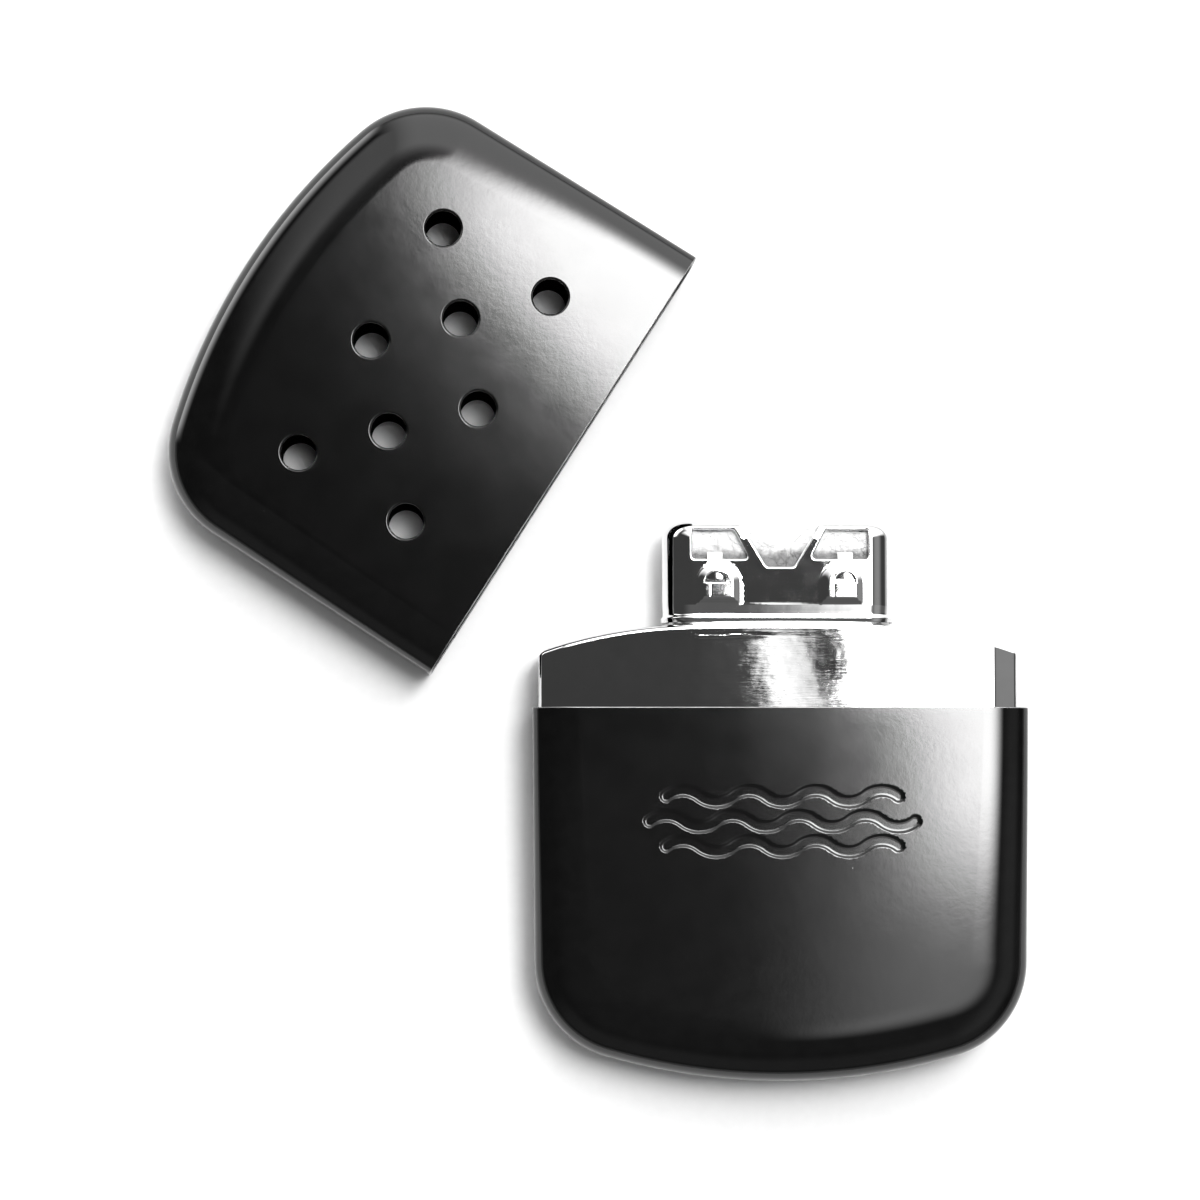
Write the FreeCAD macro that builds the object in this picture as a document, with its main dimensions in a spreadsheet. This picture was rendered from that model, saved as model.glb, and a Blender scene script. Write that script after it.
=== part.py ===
import FreeCAD, Part
import math
import os
import Sketcher

# Catalytic hand warmer, laid out flat: the fuel tank with its burner, and the
# vent lid taken off and lying beside it.  Millimetres.
# +Z up from the surface it lies on, +Y from the tank towards its burner,
# +X to the right seen from above.  Origin: centre of the case's flat back face.

V = FreeCAD.Vector
os.makedirs("parts", exist_ok=True)
doc = FreeCAD.newDocument("hand_warmer")

# ------------------------------------------------------------ driving sizes
SIZES = [
    ("case_width", 66.0, "outer width of case and lid at the rim"),
    ("case_height", 49.5, "case, bottom of the crown to the rim"),
    ("lid_height", 50.2, "lid, rim to the top of the crown"),
    ("shell_depth", 13.0, "outer depth of case and lid"),
    ("shell_low_half", 32.75, "half width where the side meets the corner"),
    ("shell_corner", 13.0, "corner radius of case and lid"),
    ("shell_crown", 84.0, "radius of the crowned end of case and lid"),
    ("shell_edge", 5.7, "radius of the long edges"),
    ("shell_sheet", 0.55, "sheet thickness of case and lid"),
    ("hole_dia", 4.7, "vent hole"),
    ("hole_row_low", 13.5, "vent rows, height above the lid's rim"),
    ("hole_row_mid", 21.95, ""),
    ("hole_row_top", 30.4, ""),
    ("hole_wide", 17.75, "vent columns, offset from the lid's axis"),
    ("hole_near", 8.87, ""),
    ("hole_edge", 0.16, "broken edge round each vent"),
    ("neck_width", 64.4, "tank neck across"),
    ("neck_depth", 11.3, "tank neck front to back"),
    ("neck_corner", 4.9, "radius of the neck's sides"),
    ("neck_foot", 13.0, "foot of the skirt inside the case"),
    ("neck_peak", 36.0, "top of the neck's crown"),
    ("neck_crown", 500.0, "radius of the middle of the neck's crown"),
    ("neck_shoulder", 64.0, "radius of the crown's two ends"),
    ("neck_flat", 12.5, "half width of the crown's middle"),
    ("neck_edge", 1.6, "radius round the top of the neck"),
    ("neck_sheet", 0.5, "sheet of the neck"),
    ("seam_low", 13.2, "solder seam, lower edge"),
    ("seam_high", 23.9, "solder seam, upper edge"),
    ("collar_width", 29.6, "filler collar across"),
    ("collar_depth", 6.4, "filler collar front to back"),
    ("collar_wall", 0.5, "filler collar sheet"),
    ("collar_foot", 31.4, "foot of the filler collar"),
    ("collar_top", 40.9, "mouth of the filler collar"),
    ("wick_top", 35.6, "top of the felt wick"),
    ("burner_width", 31.2, "burner housing across"),
    ("burner_depth", 8.0, "burner housing front to back"),
    ("burner_foot", 36.25, "foot of the burner housing"),
    ("burner_top", 49.85, "top of the burner housing"),
    ("burner_edge", 2.5, "radius round the top of the burner"),
    ("burner_sheet", 0.4, "burner sheet"),
    ("flare_width", 32.0, "rolled foot of the burner across"),
    ("flare_depth", 8.8, "rolled foot of the burner front to back"),
    ("flare_rise", 1.6, "height of the rolled foot"),
    ("flare_round", 0.35, "radius on the rolled foot"),
    ("window_out", 11.75, "burner window, outer edge from the axis"),
    ("window_in_low", 4.15, "window, inner edge at the sill"),
    ("window_in_high", 6.2, "window, inner edge at the head"),
    ("window_sill", 44.6, "window sill"),
    ("window_head", 48.65, "window head"),
    ("notch_low", 43.55, "floor of the middle notch"),
    ("notch_half_low", 1.8, "half width of the notch floor"),
    ("notch_half_top", 5.6, "half width of the notch at the top"),
    ("tongue_x", 8.2, "clip tongue, offset from the axis"),
    ("tongue_half", 3.0, "half width of a clip tongue"),
    ("tongue_foot", 38.5, "foot of a clip tongue"),
    ("tongue_rise", 0.35, "how far the tongue's arch stands proud"),
    ("tray_floor", 41.5, "underside of the catalyst tray"),
    ("tray_sheet", 0.4, "tray sheet"),
    ("tab_top", 45.55, "top of the tray's tabs"),
    ("tab_half", 1.0, "half width of a tab"),
    ("tab_x", 8.7, "tab, offset from the axis"),
    ("tray_hole", 1.8, "holes in the tray floor"),
    ("tray_pitch", 3.6, "pitch of the tray holes"),
    ("mat_width", 29.0, "catalyst mat across"),
    ("mat_depth", 6.2, "catalyst mat front to back"),
    ("mat_low", 41.95, "underside of the mat"),
    ("mat_high", 49.2, "top of the mat"),
    ("lid_x", -28.87, "middle of the lid's rim as it lies"),
    ("lid_y", 57.05, ""),
    ("lid_turn", 237.45, "turn of the lid as it lies, degrees"),
    ("wave_step", 4.4, "half a wave of the pressed mark"),
    ("wave_bend", 38.0, "how steeply the mark's waves rise, degrees"),
    ("wave_band", 1.5, "width of a pressed line"),
    ("wave_depth", 0.25, "depth of the pressed mark"),
]
sheet = doc.addObject("Spreadsheet::Sheet", "dims")
sheet.Label = "dims"
for row, (alias, value, note) in enumerate(SIZES, start=1):
    sheet.set("A%d" % row, alias)
    sheet.set("B%d" % row, repr(value))
    sheet.setAlias("B%d" % row, alias)
    if note:
        sheet.set("C%d" % row, note)
doc.recompute()
D = {alias: float(getattr(sheet, alias)) for alias, _, _ in SIZES}
MID = D["shell_depth"] / 2


# ------------------------------------------------------------------ helpers
def new_body(name):
    body = doc.addObject("PartDesign::Body", name)
    body.Label = name
    return body


def plane(body, role):
    return next(f for f in body.Origin.OriginFeatures if f.Role == role)


def sketch(body, name, role, lift=None):
    """A sketch on one of the body's own origin planes, lifted off it by an expression."""
    sk = body.newObject("Sketcher::SketchObject", name)
    sk.AttachmentSupport = [(plane(body, role), "")]
    sk.MapMode = "FlatFace"
    if lift is not None:
        sk.setExpression("AttachmentOffset.Base.z", lift)
    return sk


def line(a, b):
    return Part.LineSegment(V(a[0], a[1], 0), V(b[0], b[1], 0))


def arc(c, r, a0, a1):
    return Part.ArcOfCircle(Part.Circle(V(c[0], c[1], 0), V(0, 0, 1), r), a0, a1)


def size(sk, name, expression, *args):
    i = sk.addConstraint(Sketcher.Constraint(*args))
    sk.renameConstraint(i, name)
    sk.setExpression("Constraints." + name, expression)
    return i


def pad(body, name, sk, length, reverse=False):
    f = body.newObject("PartDesign::Pad", name)
    f.Profile = sk
    f.setExpression("Length", length)
    f.Reversed = reverse
    sk.Visibility = False
    doc.recompute()
    return f


def pocket(body, name, sk, length, reverse=False):
    before = body.Shape.Volume
    f = body.newObject("PartDesign::Pocket", name)
    f.Profile = sk
    f.setExpression("Length", length)
    f.Reversed = reverse
    sk.Visibility = False
    doc.recompute()
    if not body.Shape.Volume < before - 1e-6:
        raise RuntimeError("%s cuts nothing" % name)
    return f


def edges_where(feature, test):
    return [
        "Edge%d" % (i + 1) for i, e in enumerate(feature.Shape.Edges) if test(e)
    ]


def face_where(feature, test):
    return ["Face%d" % (i + 1) for i, f in enumerate(feature.Shape.Faces) if test(f)]


def fillet(body, name, base, edges, radius):
    if not edges:
        raise RuntimeError("%s has no edges" % name)
    f = body.newObject("PartDesign::Fillet", name)
    f.Base = (base, edges)
    f.setExpression("Radius", radius)
    doc.recompute()
    return f


def thickness(body, name, base, faces, value):
    before = base.Shape.Volume
    f = body.newObject("PartDesign::Thickness", name)
    f.Base = (base, faces)
    f.setExpression("Value", value)
    f.Mode = 0
    f.Join = 0
    f.Reversed = True
    doc.recompute()
    if not 0.02 * before < f.Shape.Volume < 0.6 * before:
        raise RuntimeError("%s made no shell" % name)
    return f


def shell_outline(sk, y_rim, y_end, rim_name, end_name):
    """Front view of case or lid: straight rim, nearly straight sides, big corners, crowned end."""
    w, cx = D["case_width"] / 2, D["shell_low_half"] - D["shell_corner"]
    r, big = D["shell_corner"], D["shell_crown"]
    top = (0.0, y_end + big)
    cy = top[1] - math.sqrt((big - r) ** 2 - cx**2)
    d = math.hypot(w - cx, y_rim - cy)
    a = math.atan2(y_rim - cy, w - cx) - math.acos(r / d)
    b = math.atan2(cy - top[1], cx)
    t = (cx + r * math.cos(a), cy + r * math.sin(a))
    sk.addGeometry(
        [
            line((-w, y_rim), (w, y_rim)),
            line((w, y_rim), t),
            arc((cx, cy), r, b, a),
            arc(top, big, math.pi - b, b + 2 * math.pi),
            arc((-cx, cy), r, math.pi - a, math.pi - b),
            line((-t[0], t[1]), (-w, y_rim)),
        ],
        False,
    )
    C = Sketcher.Constraint
    sk.addConstraint(
        [
            C("Coincident", 0, 2, 1, 1),
            C("Coincident", 5, 2, 0, 1),
            C("Tangent", 1, 2, 2, 2),
            C("Tangent", 2, 1, 3, 2),
            C("Tangent", 3, 1, 4, 2),
            C("Tangent", 4, 1, 5, 1),
            C("Symmetric", 0, 1, 0, 2, -2),
            C("Symmetric", 2, 3, 4, 3, -2),
            C("Equal", 2, 4),
        ]
    )
    size(sk, "rim_width", "dims.case_width", "DistanceX", 0, 1, 0, 2, 2 * w)
    size(sk, "corner", "dims.shell_corner", "Radius", 2, r)
    size(sk, "crown", "dims.shell_crown", "Radius", 3, big)
    size(sk, "corner_x", "dims.shell_low_half - dims.shell_corner", "DistanceX", -1, 1, 2, 3, cx)
    size(sk, "rim_y", rim_name, "DistanceY", -1, 1, 0, 2, y_rim)
    size(sk, "end_y", end_name, "DistanceY", -1, 1, 3, 3, top[1])


def stadium(sk, length, depth, middle="dims.shell_depth / 2", mid=None):
    """A slot with full-round ends, centred on the sketch's upright axis."""
    L, T, m = D[length] / 2, D[depth] / 2, MID if mid is None else mid
    c = L - T
    sk.addGeometry(
        [
            line((-c, m - T), (c, m - T)),
            arc((c, m), T, -math.pi / 2, math.pi / 2),
            line((c, m + T), (-c, m + T)),
            arc((-c, m), T, math.pi / 2, 3 * math.pi / 2),
        ],
        False,
    )
    C = Sketcher.Constraint
    sk.addConstraint(
        [
            C("Tangent", 0, 2, 1, 1),
            C("Tangent", 1, 2, 2, 1),
            C("Tangent", 2, 2, 3, 1),
            C("Tangent", 3, 2, 0, 1),
            C("Horizontal", 0),
            C("Symmetric", 1, 3, 3, 3, -2),
        ]
    )
    size(sk, "half_depth", "dims.%s / 2" % depth, "Radius", 1, T)
    size(
        sk, "spread", "dims.%s - dims.%s" % (length, depth), "DistanceX", 3, 3, 1, 3, 2 * c
    )
    size(sk, "middle", middle, "DistanceY", -1, 1, 1, 3, m)


def rounded(sk, length, depth, corner):
    """A rounded rectangle at mid depth, centred on the sketch's upright axis."""
    L, T, r, m = D[length] / 2, D[depth] / 2, D[corner], MID
    x, z, h = L - r, T - r, math.pi / 2
    sk.addGeometry(
        [
            line((-x, m - T), (x, m - T)),
            arc((x, m - z), r, -h, 0),
            line((L, m - z), (L, m + z)),
            arc((x, m + z), r, 0, h),
            line((x, m + T), (-x, m + T)),
            arc((-x, m + z), r, h, 2 * h),
            line((-L, m + z), (-L, m - z)),
            arc((-x, m - z), r, 2 * h, 3 * h),
        ],
        False,
    )
    C = Sketcher.Constraint
    sk.addConstraint([C("Tangent", i, 2, (i + 1) % 8, 1) for i in range(8)])
    sk.addConstraint(
        [
            C("Horizontal", 0),
            C("Vertical", 2),
            C("Equal", 1, 3),
            C("Equal", 1, 5),
            C("Symmetric", 1, 3, 7, 3, -2),
        ]
    )
    size(sk, "corner", "dims." + corner, "Radius", 1, r)
    size(sk, "across", "dims.%s - 2 * dims.%s" % (length, corner), "DistanceX", 7, 3, 1, 3, 2 * x)
    size(sk, "deep", "dims.%s - 2 * dims.%s" % (depth, corner), "DistanceY", 1, 3, 3, 3, 2 * z)
    size(
        sk,
        "low",
        "(dims.shell_depth - dims.%s) / 2 + dims.%s" % (depth, corner),
        "DistanceY",
        -1,
        1,
        1,
        3,
        m - z,
    )


def closed(sk, segments):
    """Segments that run head to tail, joined and closed."""
    first = sk.addGeometry(segments, False)[0]
    n = len(segments)
    sk.addConstraint(
        [
            Sketcher.Constraint("Coincident", first + i, 2, first + (i + 1) % n, 1)
            for i in range(n)
        ]
    )
    return first


def polygon(sk, points):
    n = len(points)
    return closed(sk, [line(points[i], points[(i + 1) % n]) for i in range(n)])


def at(sk, name, geo, end, x, y):
    """Ties one point of a sketch to two expressions, each given with its value."""
    size(sk, name + "_x", x[0], "DistanceX", -1, 1, geo, end, x[1])
    size(sk, name + "_y", y[0], "DistanceY", -1, 1, geo, end, y[1])


# ---------------------------------------------------------------- the shells
def drawn_shell(name, y_rim, y_end, rim_name, end_name):
    """A deep-drawn half: solid form, long edges rounded, hollowed from the rim."""
    body = new_body(name)
    sk = sketch(body, name + "_outline", "XY_Plane")
    shell_outline(sk, y_rim, y_end, rim_name, end_name)
    form = pad(body, name + "_form", sk, "dims.shell_depth")

    def long_edge(e):
        b = e.BoundBox
        flat = b.ZLength < 1e-6 and (b.ZMin < 1e-6 or b.ZMin > D["shell_depth"] - 1e-6)
        return flat and not (b.YLength < 1e-6 and abs(b.YMin - y_rim) < 1e-6)

    soft = fillet(body, name + "_edges", form, edges_where(form, long_edge), "dims.shell_edge")
    rim = face_where(
        soft, lambda f: f.BoundBox.YLength < 1e-6 and abs(f.BoundBox.YMin - y_rim) < 1e-6
    )
    skin = thickness(body, name + "_sheet", soft, rim, "dims.shell_sheet")
    body.Tip = skin
    return body, skin


half = D["case_height"] / 2
outer_case, case_skin = drawn_shell(
    "outer_case", half, -half, "dims.case_height / 2", "dims.shell_crown - dims.case_height / 2"
)

# A plain mark pressed into the front of the case: three wavy lines, one above the other.
bend = math.radians(D["wave_bend"])
rho = D["wave_step"] / (2 * math.sin(bend))
drop = rho * math.cos(bend)
LINES = [(-15.4, 7, 12.9), (-17.6, 8, 9.6), (-15.4, 7, 6.3)]
mark = sketch(outer_case, "mark_lines", "XY_Plane", "dims.shell_depth")
for x0, count, y0 in LINES:
    w2, up = D["wave_band"] / 2, math.pi / 2
    near, far = [], []
    for i in range(count):
        hump = i % 2 == 0
        cxi = x0 + (i + 0.5) * D["wave_step"]
        cyi = y0 - drop if hump else y0 + drop
        near.append((cxi, cyi, rho - w2 if hump else rho + w2, hump))
        far.append((cxi, cyi, rho + w2 if hump else rho - w2, hump))
    segs = []
    for cxi, cyi, rr, hump in near:  # left to right along the underside
        a = (up - bend, up + bend) if hump else (-up - bend, -up + bend)
        segs.append((arc((cxi, cyi), rr, *a), not hump))
    end_dir = -bend if (count - 1) % 2 == 0 else bend
    xe = x0 + count * D["wave_step"]
    segs.append((arc((xe, y0), w2, end_dir - up, end_dir + up), True))
    for cxi, cyi, rr, hump in reversed(far):
        a = (up - bend, up + bend) if hump else (-up - bend, -up + bend)
        segs.append((arc((cxi, cyi), rr, *a), hump))
    segs.append((arc((x0, y0), w2, bend + up, bend + 3 * up), True))
    ids = mark.addGeometry([g for g, _ in segs], False)
    n = len(segs)
    for i in range(n):
        j = (i + 1) % n
        mark.addConstraint(
            Sketcher.Constraint(
                "Coincident", ids[i], 2 if segs[i][1] else 1, ids[j], 1 if segs[j][1] else 2
            )
        )
mark_cut = pocket(outer_case, "mark_pressed", mark, "dims.wave_depth")
outer_case.Tip = mark_cut

# The lid: the same drawn form turned over, with its vents through both faces.
lid_shell, lid_skin = drawn_shell(
    "lid_shell", 0.0, -D["lid_height"], "0 * dims.case_width", "dims.shell_crown - dims.lid_height"
)
vents = sketch(lid_shell, "vents", "XY_Plane", "-1")
first_hole = True
n_hole = 0
for row_name, columns in (
    ("hole_row_low", (-1, 0, 1)),
    ("hole_row_mid", (-0.5, 0.5)),
    ("hole_row_top", (-1, 0, 1)),
):
    for col in columns:
        x_name = {1.0: "dims.hole_wide", 0.5: "dims.hole_near", 0.0: None}[abs(float(col))]
        x = (0 if col == 0 else math.copysign(D[x_name[5:]], col)) if x_name else 0.0
        y = -D[row_name]
        g = vents.addGeometry(Part.Circle(V(x, y, 0), V(0, 0, 1), D["hole_dia"] / 2), False)
        if first_hole:
            size(vents, "bore", "dims.hole_dia / 2", "Radius", g, D["hole_dia"] / 2)
            first_hole = False
        else:
            vents.addConstraint(Sketcher.Constraint("Equal", 0, g))
        if col == 0:
            vents.addConstraint(Sketcher.Constraint("PointOnObject", g, 3, -2))
        else:
            size(
                vents,
                "hole%d_x" % g,
                x_name if col > 0 else "-" + x_name,
                "DistanceX",
                -1,
                1,
                g,
                3,
                x,
            )
        size(vents, "hole%d_y" % g, "-dims." + row_name, "DistanceY", -1, 1, g, 3, y)
        n_hole += 1
vent_cut = pocket(lid_shell, "vent_cut", vents, "dims.shell_depth + 2", reverse=True)


def vent_edge(e):
    c = e.Curve
    if not isinstance(c, Part.Circle) or abs(c.Radius - D["hole_dia"] / 2) > 1e-4:
        return False
    z = e.BoundBox.ZMin
    return e.BoundBox.ZLength < 1e-6 and (z < 1e-4 or z > D["shell_depth"] - 1e-4)


vent_soft = fillet(lid_shell, "vent_edges", vent_cut, edges_where(vent_cut, vent_edge), "dims.hole_edge")
lid_shell.Tip = vent_soft
lid_shell.setExpression("Placement.Base.x", "dims.lid_x")
lid_shell.setExpression("Placement.Base.y", "dims.lid_y")
lid_shell.setExpression("Placement.Rotation.Angle", "dims.lid_turn")

# ------------------------------------------------------------------ the tank
tank_top = new_body("tank_top")
sk = sketch(tank_top, "neck_section", "XZ_Plane", "-dims.neck_foot")
rounded(sk, "neck_width", "neck_depth", "neck_corner")
neck_form = pad(tank_top, "neck_form", sk, "dims.neck_peak + 1 - dims.neck_foot", True)
sk = sketch(tank_top, "neck_crown_line", "XY_Plane", "-1")
R, r, peak, x = D["neck_crown"], D["neck_shoulder"], D["neck_peak"], 36.0
a = math.acos(D["neck_flat"] / R)
cx, cy = D["neck_flat"] - r * math.cos(a), peak - R + (R - r) * math.sin(a)
b = math.acos((x - cx) / r)
y_side = cy + r * math.sin(b)
sk.addGeometry(
    [
        arc((0, peak - R), R, a, math.pi - a),
        arc((-cx, cy), r, math.pi - a, math.pi - b),
        line((-x, y_side), (-x, 44)),
        line((-x, 44), (x, 44)),
        line((x, 44), (x, y_side)),
        arc((cx, cy), r, b, a),
    ],
    False,
)
C = Sketcher.Constraint
sk.addConstraint(
    [
        C("Tangent", 0, 2, 1, 1),
        C("Coincident", 1, 2, 2, 1),
        C("Coincident", 2, 2, 3, 1),
        C("Coincident", 3, 2, 4, 1),
        C("Coincident", 4, 2, 5, 1),
        C("Tangent", 5, 2, 0, 1),
        C("Symmetric", 0, 1, 0, 2, -2),
        C("Equal", 1, 5),
        C("Vertical", 2),
        C("Vertical", 4),
        C("Symmetric", 3, 1, 3, 2, -2),
    ]
)
size(sk, "crown", "dims.neck_crown", "Radius", 0, R)
size(sk, "shoulder", "dims.neck_shoulder", "Radius", 5, r)
size(sk, "flat", "dims.neck_flat", "DistanceX", -1, 1, 0, 1, D["neck_flat"])
size(sk, "peak", "dims.neck_peak - dims.neck_crown", "DistanceY", -1, 1, 0, 3, peak - R)
size(sk, "side", "dims.neck_width / 2 + 3.8", "DistanceX", -1, 1, 3, 2, x)
size(sk, "above", "dims.neck_peak + 8", "DistanceY", -1, 1, 3, 2, 44.0)
crown_cut = pocket(tank_top, "neck_crown_cut", sk, "dims.shell_depth + 2", reverse=True)


def crown_edge(e):
    b = e.BoundBox
    if b.YMin < D["neck_peak"] - 5:
        return False
    return True


neck_soft = fillet(
    tank_top, "neck_top_edge", crown_cut, edges_where(crown_cut, crown_edge), "dims.neck_edge"
)
foot = face_where(
    neck_soft, lambda f: f.BoundBox.YLength < 1e-6 and abs(f.BoundBox.YMin - D["neck_foot"]) < 1e-6
)
neck_skin = thickness(tank_top, "neck_sheet", neck_soft, foot, "dims.neck_sheet")
sk = sketch(tank_top, "mouth", "XZ_Plane", "-dims.neck_peak - 1")
stadium(sk, "collar_width", "collar_depth")
mouth_cut = pocket(tank_top, "mouth_cut", sk, "4", reverse=True)
tank_top.Tip = mouth_cut

# Solder between the case wall and the neck's skirt: the case's inside, less the skirt.
tank_seam = doc.addObject("Part::Feature", "tank_seam")
# the ring is cut from the hollow of the case itself, so it follows the drawn wall
hollow = Part.makeBox(70, D["seam_high"] - D["seam_low"], 20, V(-35, D["seam_low"], -3))
solid_case = doc.getObject("outer_case_edges").Shape
ring = hollow.common(solid_case).cut(case_skin.Shape)
ring = ring.cut(doc.getObject("neck_top_edge").Shape)
ring = max(ring.Solids, key=lambda s: s.Volume)
tank_seam.Shape = ring
tank_seam.Placement = FreeCAD.Placement()
tank_seam.Label = "tank_seam"

filler_collar = new_body("filler_collar")
sk = sketch(filler_collar, "collar_section", "XZ_Plane", "-dims.collar_foot")
stadium(sk, "collar_width", "collar_depth")
collar_form = pad(filler_collar, "collar_form", sk, "dims.collar_top - dims.collar_foot", True)
ends = face_where(collar_form, lambda f: f.BoundBox.YLength < 1e-6)
collar_skin = thickness(filler_collar, "collar_sheet", collar_form, ends, "dims.collar_wall")
filler_collar.Tip = collar_skin

wick_felt = new_body("wick_felt")
sk = sketch(wick_felt, "wick_section", "XZ_Plane", "-dims.collar_foot")
D["wick_width"] = D["collar_width"] - 2 * D["collar_wall"] - 0.1
D["wick_depth"] = D["collar_depth"] - 2 * D["collar_wall"] - 0.1
L, T = D["wick_width"] / 2, D["wick_depth"] / 2
c = L - T
sk.addGeometry(
    [
        line((-c, MID - T), (c, MID - T)),
        arc((c, MID), T, -math.pi / 2, math.pi / 2),
        line((c, MID + T), (-c, MID + T)),
        arc((-c, MID), T, math.pi / 2, 3 * math.pi / 2),
    ],
    False,
)
C = Sketcher.Constraint
sk.addConstraint([C("Tangent", i, 2, (i + 1) % 4, 1) for i in range(4)])
sk.addConstraint([C("Horizontal", 0), C("Symmetric", 1, 3, 3, 3, -2)])
size(sk, "half_depth", "dims.collar_depth / 2 - dims.collar_wall - 0.05", "Radius", 1, T)
size(sk, "spread", "dims.collar_width - dims.collar_depth", "DistanceX", 3, 3, 1, 3, 2 * c)
size(sk, "middle", "dims.shell_depth / 2", "DistanceY", -1, 1, 1, 3, MID)
wick_pad = pad(wick_felt, "wick_block", sk, "dims.wick_top - dims.collar_foot", True)
wick_felt.Tip = wick_pad


def block(name, x0, x1, y0, y1, z0, z1, radius):
    """A plain rounded block of cotton wadding."""
    body = new_body(name)
    s = sketch(body, name + "_plan", "XY_Plane", "%g" % z0)
    polygon(s, [(x0, y0), (x1, y0), (x1, y1), (x0, y1)])
    s.addConstraint([C("Horizontal", 0), C("Vertical", 1), C("Horizontal", 2), C("Vertical", 3)])
    size(s, "left", "%g + 0 * dims.case_width" % x0, "DistanceX", -1, 1, 0, 1, x0)
    size(s, "wide", "(%g) * dims.case_width / %g" % (x1 - x0, D["case_width"]), "DistanceX", 0, 1, 0, 2, x1 - x0)
    size(s, "low", "%g + 0 * dims.case_width" % y0, "DistanceY", -1, 1, 0, 1, y0)
    size(s, "tall", "(%g) * dims.case_height / %g" % (y1 - y0, D["case_height"]), "DistanceY", 1, 1, 1, 2, y1 - y0)
    p = pad(body, name + "_block", s, "%g * dims.shell_depth / %g" % (z1 - z0, D["shell_depth"]))
    f = fillet(body, name + "_soft", p, edges_where(p, lambda e: True), "%g + 0 * dims.case_width" % radius)
    body.Tip = f
    return body


wadding_left = block("wadding_left", -30.0, -10.15, -16.8, 12.6, 1.6, 11.4, 3.6)
wadding_centre = block("wadding_centre", -9.95, 9.95, -22.6, 12.6, 1.6, 11.4, 3.6)
wadding_right = block("wadding_right", 10.15, 30.0, -16.8, 12.6, 1.6, 11.4, 3.6)
wadding_neck = block("wadding_neck", -29.8, 29.8, 13.0, 31.2, 2.3, 10.7, 3.0)

# ---------------------------------------------------------------- the burner
burner_housing = new_body("burner_housing")
sk = sketch(burner_housing, "burner_section", "XZ_Plane", "-dims.burner_foot")
stadium(sk, "burner_width", "burner_depth")
cup = pad(burner_housing, "burner_form", sk, "dims.burner_top - dims.burner_foot", True)
cup_soft = fillet(
    burner_housing,
    "burner_top_edge",
    cup,
    edges_where(cup, lambda e: e.BoundBox.YMin > D["burner_top"] - 1e-6),
    "dims.burner_edge",
)
open_end = face_where(
    cup_soft, lambda f: f.BoundBox.YLength < 1e-6 and abs(f.BoundBox.YMin - D["burner_foot"]) < 1e-6
)
cup_skin = thickness(burner_housing, "burner_sheet", cup_soft, open_end, "dims.burner_sheet")
# the rolled foot: a band round the outside of the skirt
sk = sketch(burner_housing, "foot_section", "XZ_Plane", "-dims.burner_foot")
stadium(sk, "flare_width", "flare_depth")
L, T = D["burner_width"] / 2, D["burner_depth"] / 2
T2 = T - D["burner_sheet"] / 2
c = L - T
ids = sk.addGeometry(
    [
        line((-c, MID - T2), (c, MID - T2)),
        arc((c, MID), T2, -math.pi / 2, math.pi / 2),
        line((c, MID + T2), (-c, MID + T2)),
        arc((-c, MID), T2, math.pi / 2, 3 * math.pi / 2),
    ],
    False,
)
sk.addConstraint([C("Tangent", ids[i], 2, ids[(i + 1) % 4], 1) for i in range(4)])
sk.addConstraint([C("Horizontal", ids[0]), C("Symmetric", ids[1], 3, ids[3], 3, -2)])
size(sk, "in_half", "(dims.burner_depth - dims.burner_sheet) / 2", "Radius", ids[1], T2)
size(sk, "in_spread", "dims.burner_width - dims.burner_depth", "DistanceX", ids[3], 3, ids[1], 3, 2 * c)
size(sk, "in_middle", "dims.shell_depth / 2", "DistanceY", -1, 1, ids[1], 3, MID)
foot_band = pad(burner_housing, "foot_band", sk, "dims.flare_rise", True)


def band_edge(e):
    b = e.BoundBox
    if b.YLength > 1e-6 or abs(b.YMin - D["burner_foot"] - D["flare_rise"]) > 1e-6:
        return False
    far = max(abs(b.ZMin - MID), abs(b.ZMax - MID))
    return abs(far - D["flare_depth"] / 2) < 1e-4


foot_soft = fillet(burner_housing, "foot_round", foot_band, edges_where(foot_band, band_edge), "dims.flare_round")

# windows left and right, and the notch between them, through front and back
sk = sketch(burner_housing, "windows", "XY_Plane", "-1")
for k, sgn in enumerate((-1, 1)):
    pts = [
        (sgn * D["window_out"], D["window_sill"]),
        (sgn * D["window_in_low"], D["window_sill"]),
        (sgn * D["window_in_high"], D["window_head"]),
        (sgn * D["window_out"], D["window_head"]),
    ]
    g = polygon(sk, pts)
    sign = "-" if sgn < 0 else ""
    for i, (xn, yn) in enumerate(
        (
            ("window_out", "window_sill"),
            ("window_in_low", "window_sill"),
            ("window_in_high", "window_head"),
            ("window_out", "window_head"),
        )
    ):
        at(sk, "w%d_%d" % (k, i), g + i, 1, (sign + "dims." + xn, pts[i][0]), ("dims." + yn, pts[i][1]))
window_cut = pocket(burner_housing, "window_cut", sk, "dims.shell_depth + 2", reverse=True)
corner = edges_where(
    window_cut,
    lambda e: isinstance(e.Curve, Part.Line)
    and e.BoundBox.XLength < 1e-6
    and e.BoundBox.YLength < 1e-6
    and e.BoundBox.ZLength < 0.6
    and abs(e.BoundBox.YMin - D["window_sill"]) < 1e-4,
)
window_soft = fillet(burner_housing, "window_corners", window_cut, corner, "0.5")
sk = sketch(burner_housing, "notch", "XY_Plane", "-1")
pts = [
    (-D["notch_half_low"], D["notch_low"]),
    (D["notch_half_low"], D["notch_low"]),
    (D["notch_half_top"], D["burner_top"]),
    (D["notch_half_top"], D["burner_top"] + 2),
    (-D["notch_half_top"], D["burner_top"] + 2),
    (-D["notch_half_top"], D["burner_top"]),
]
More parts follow.
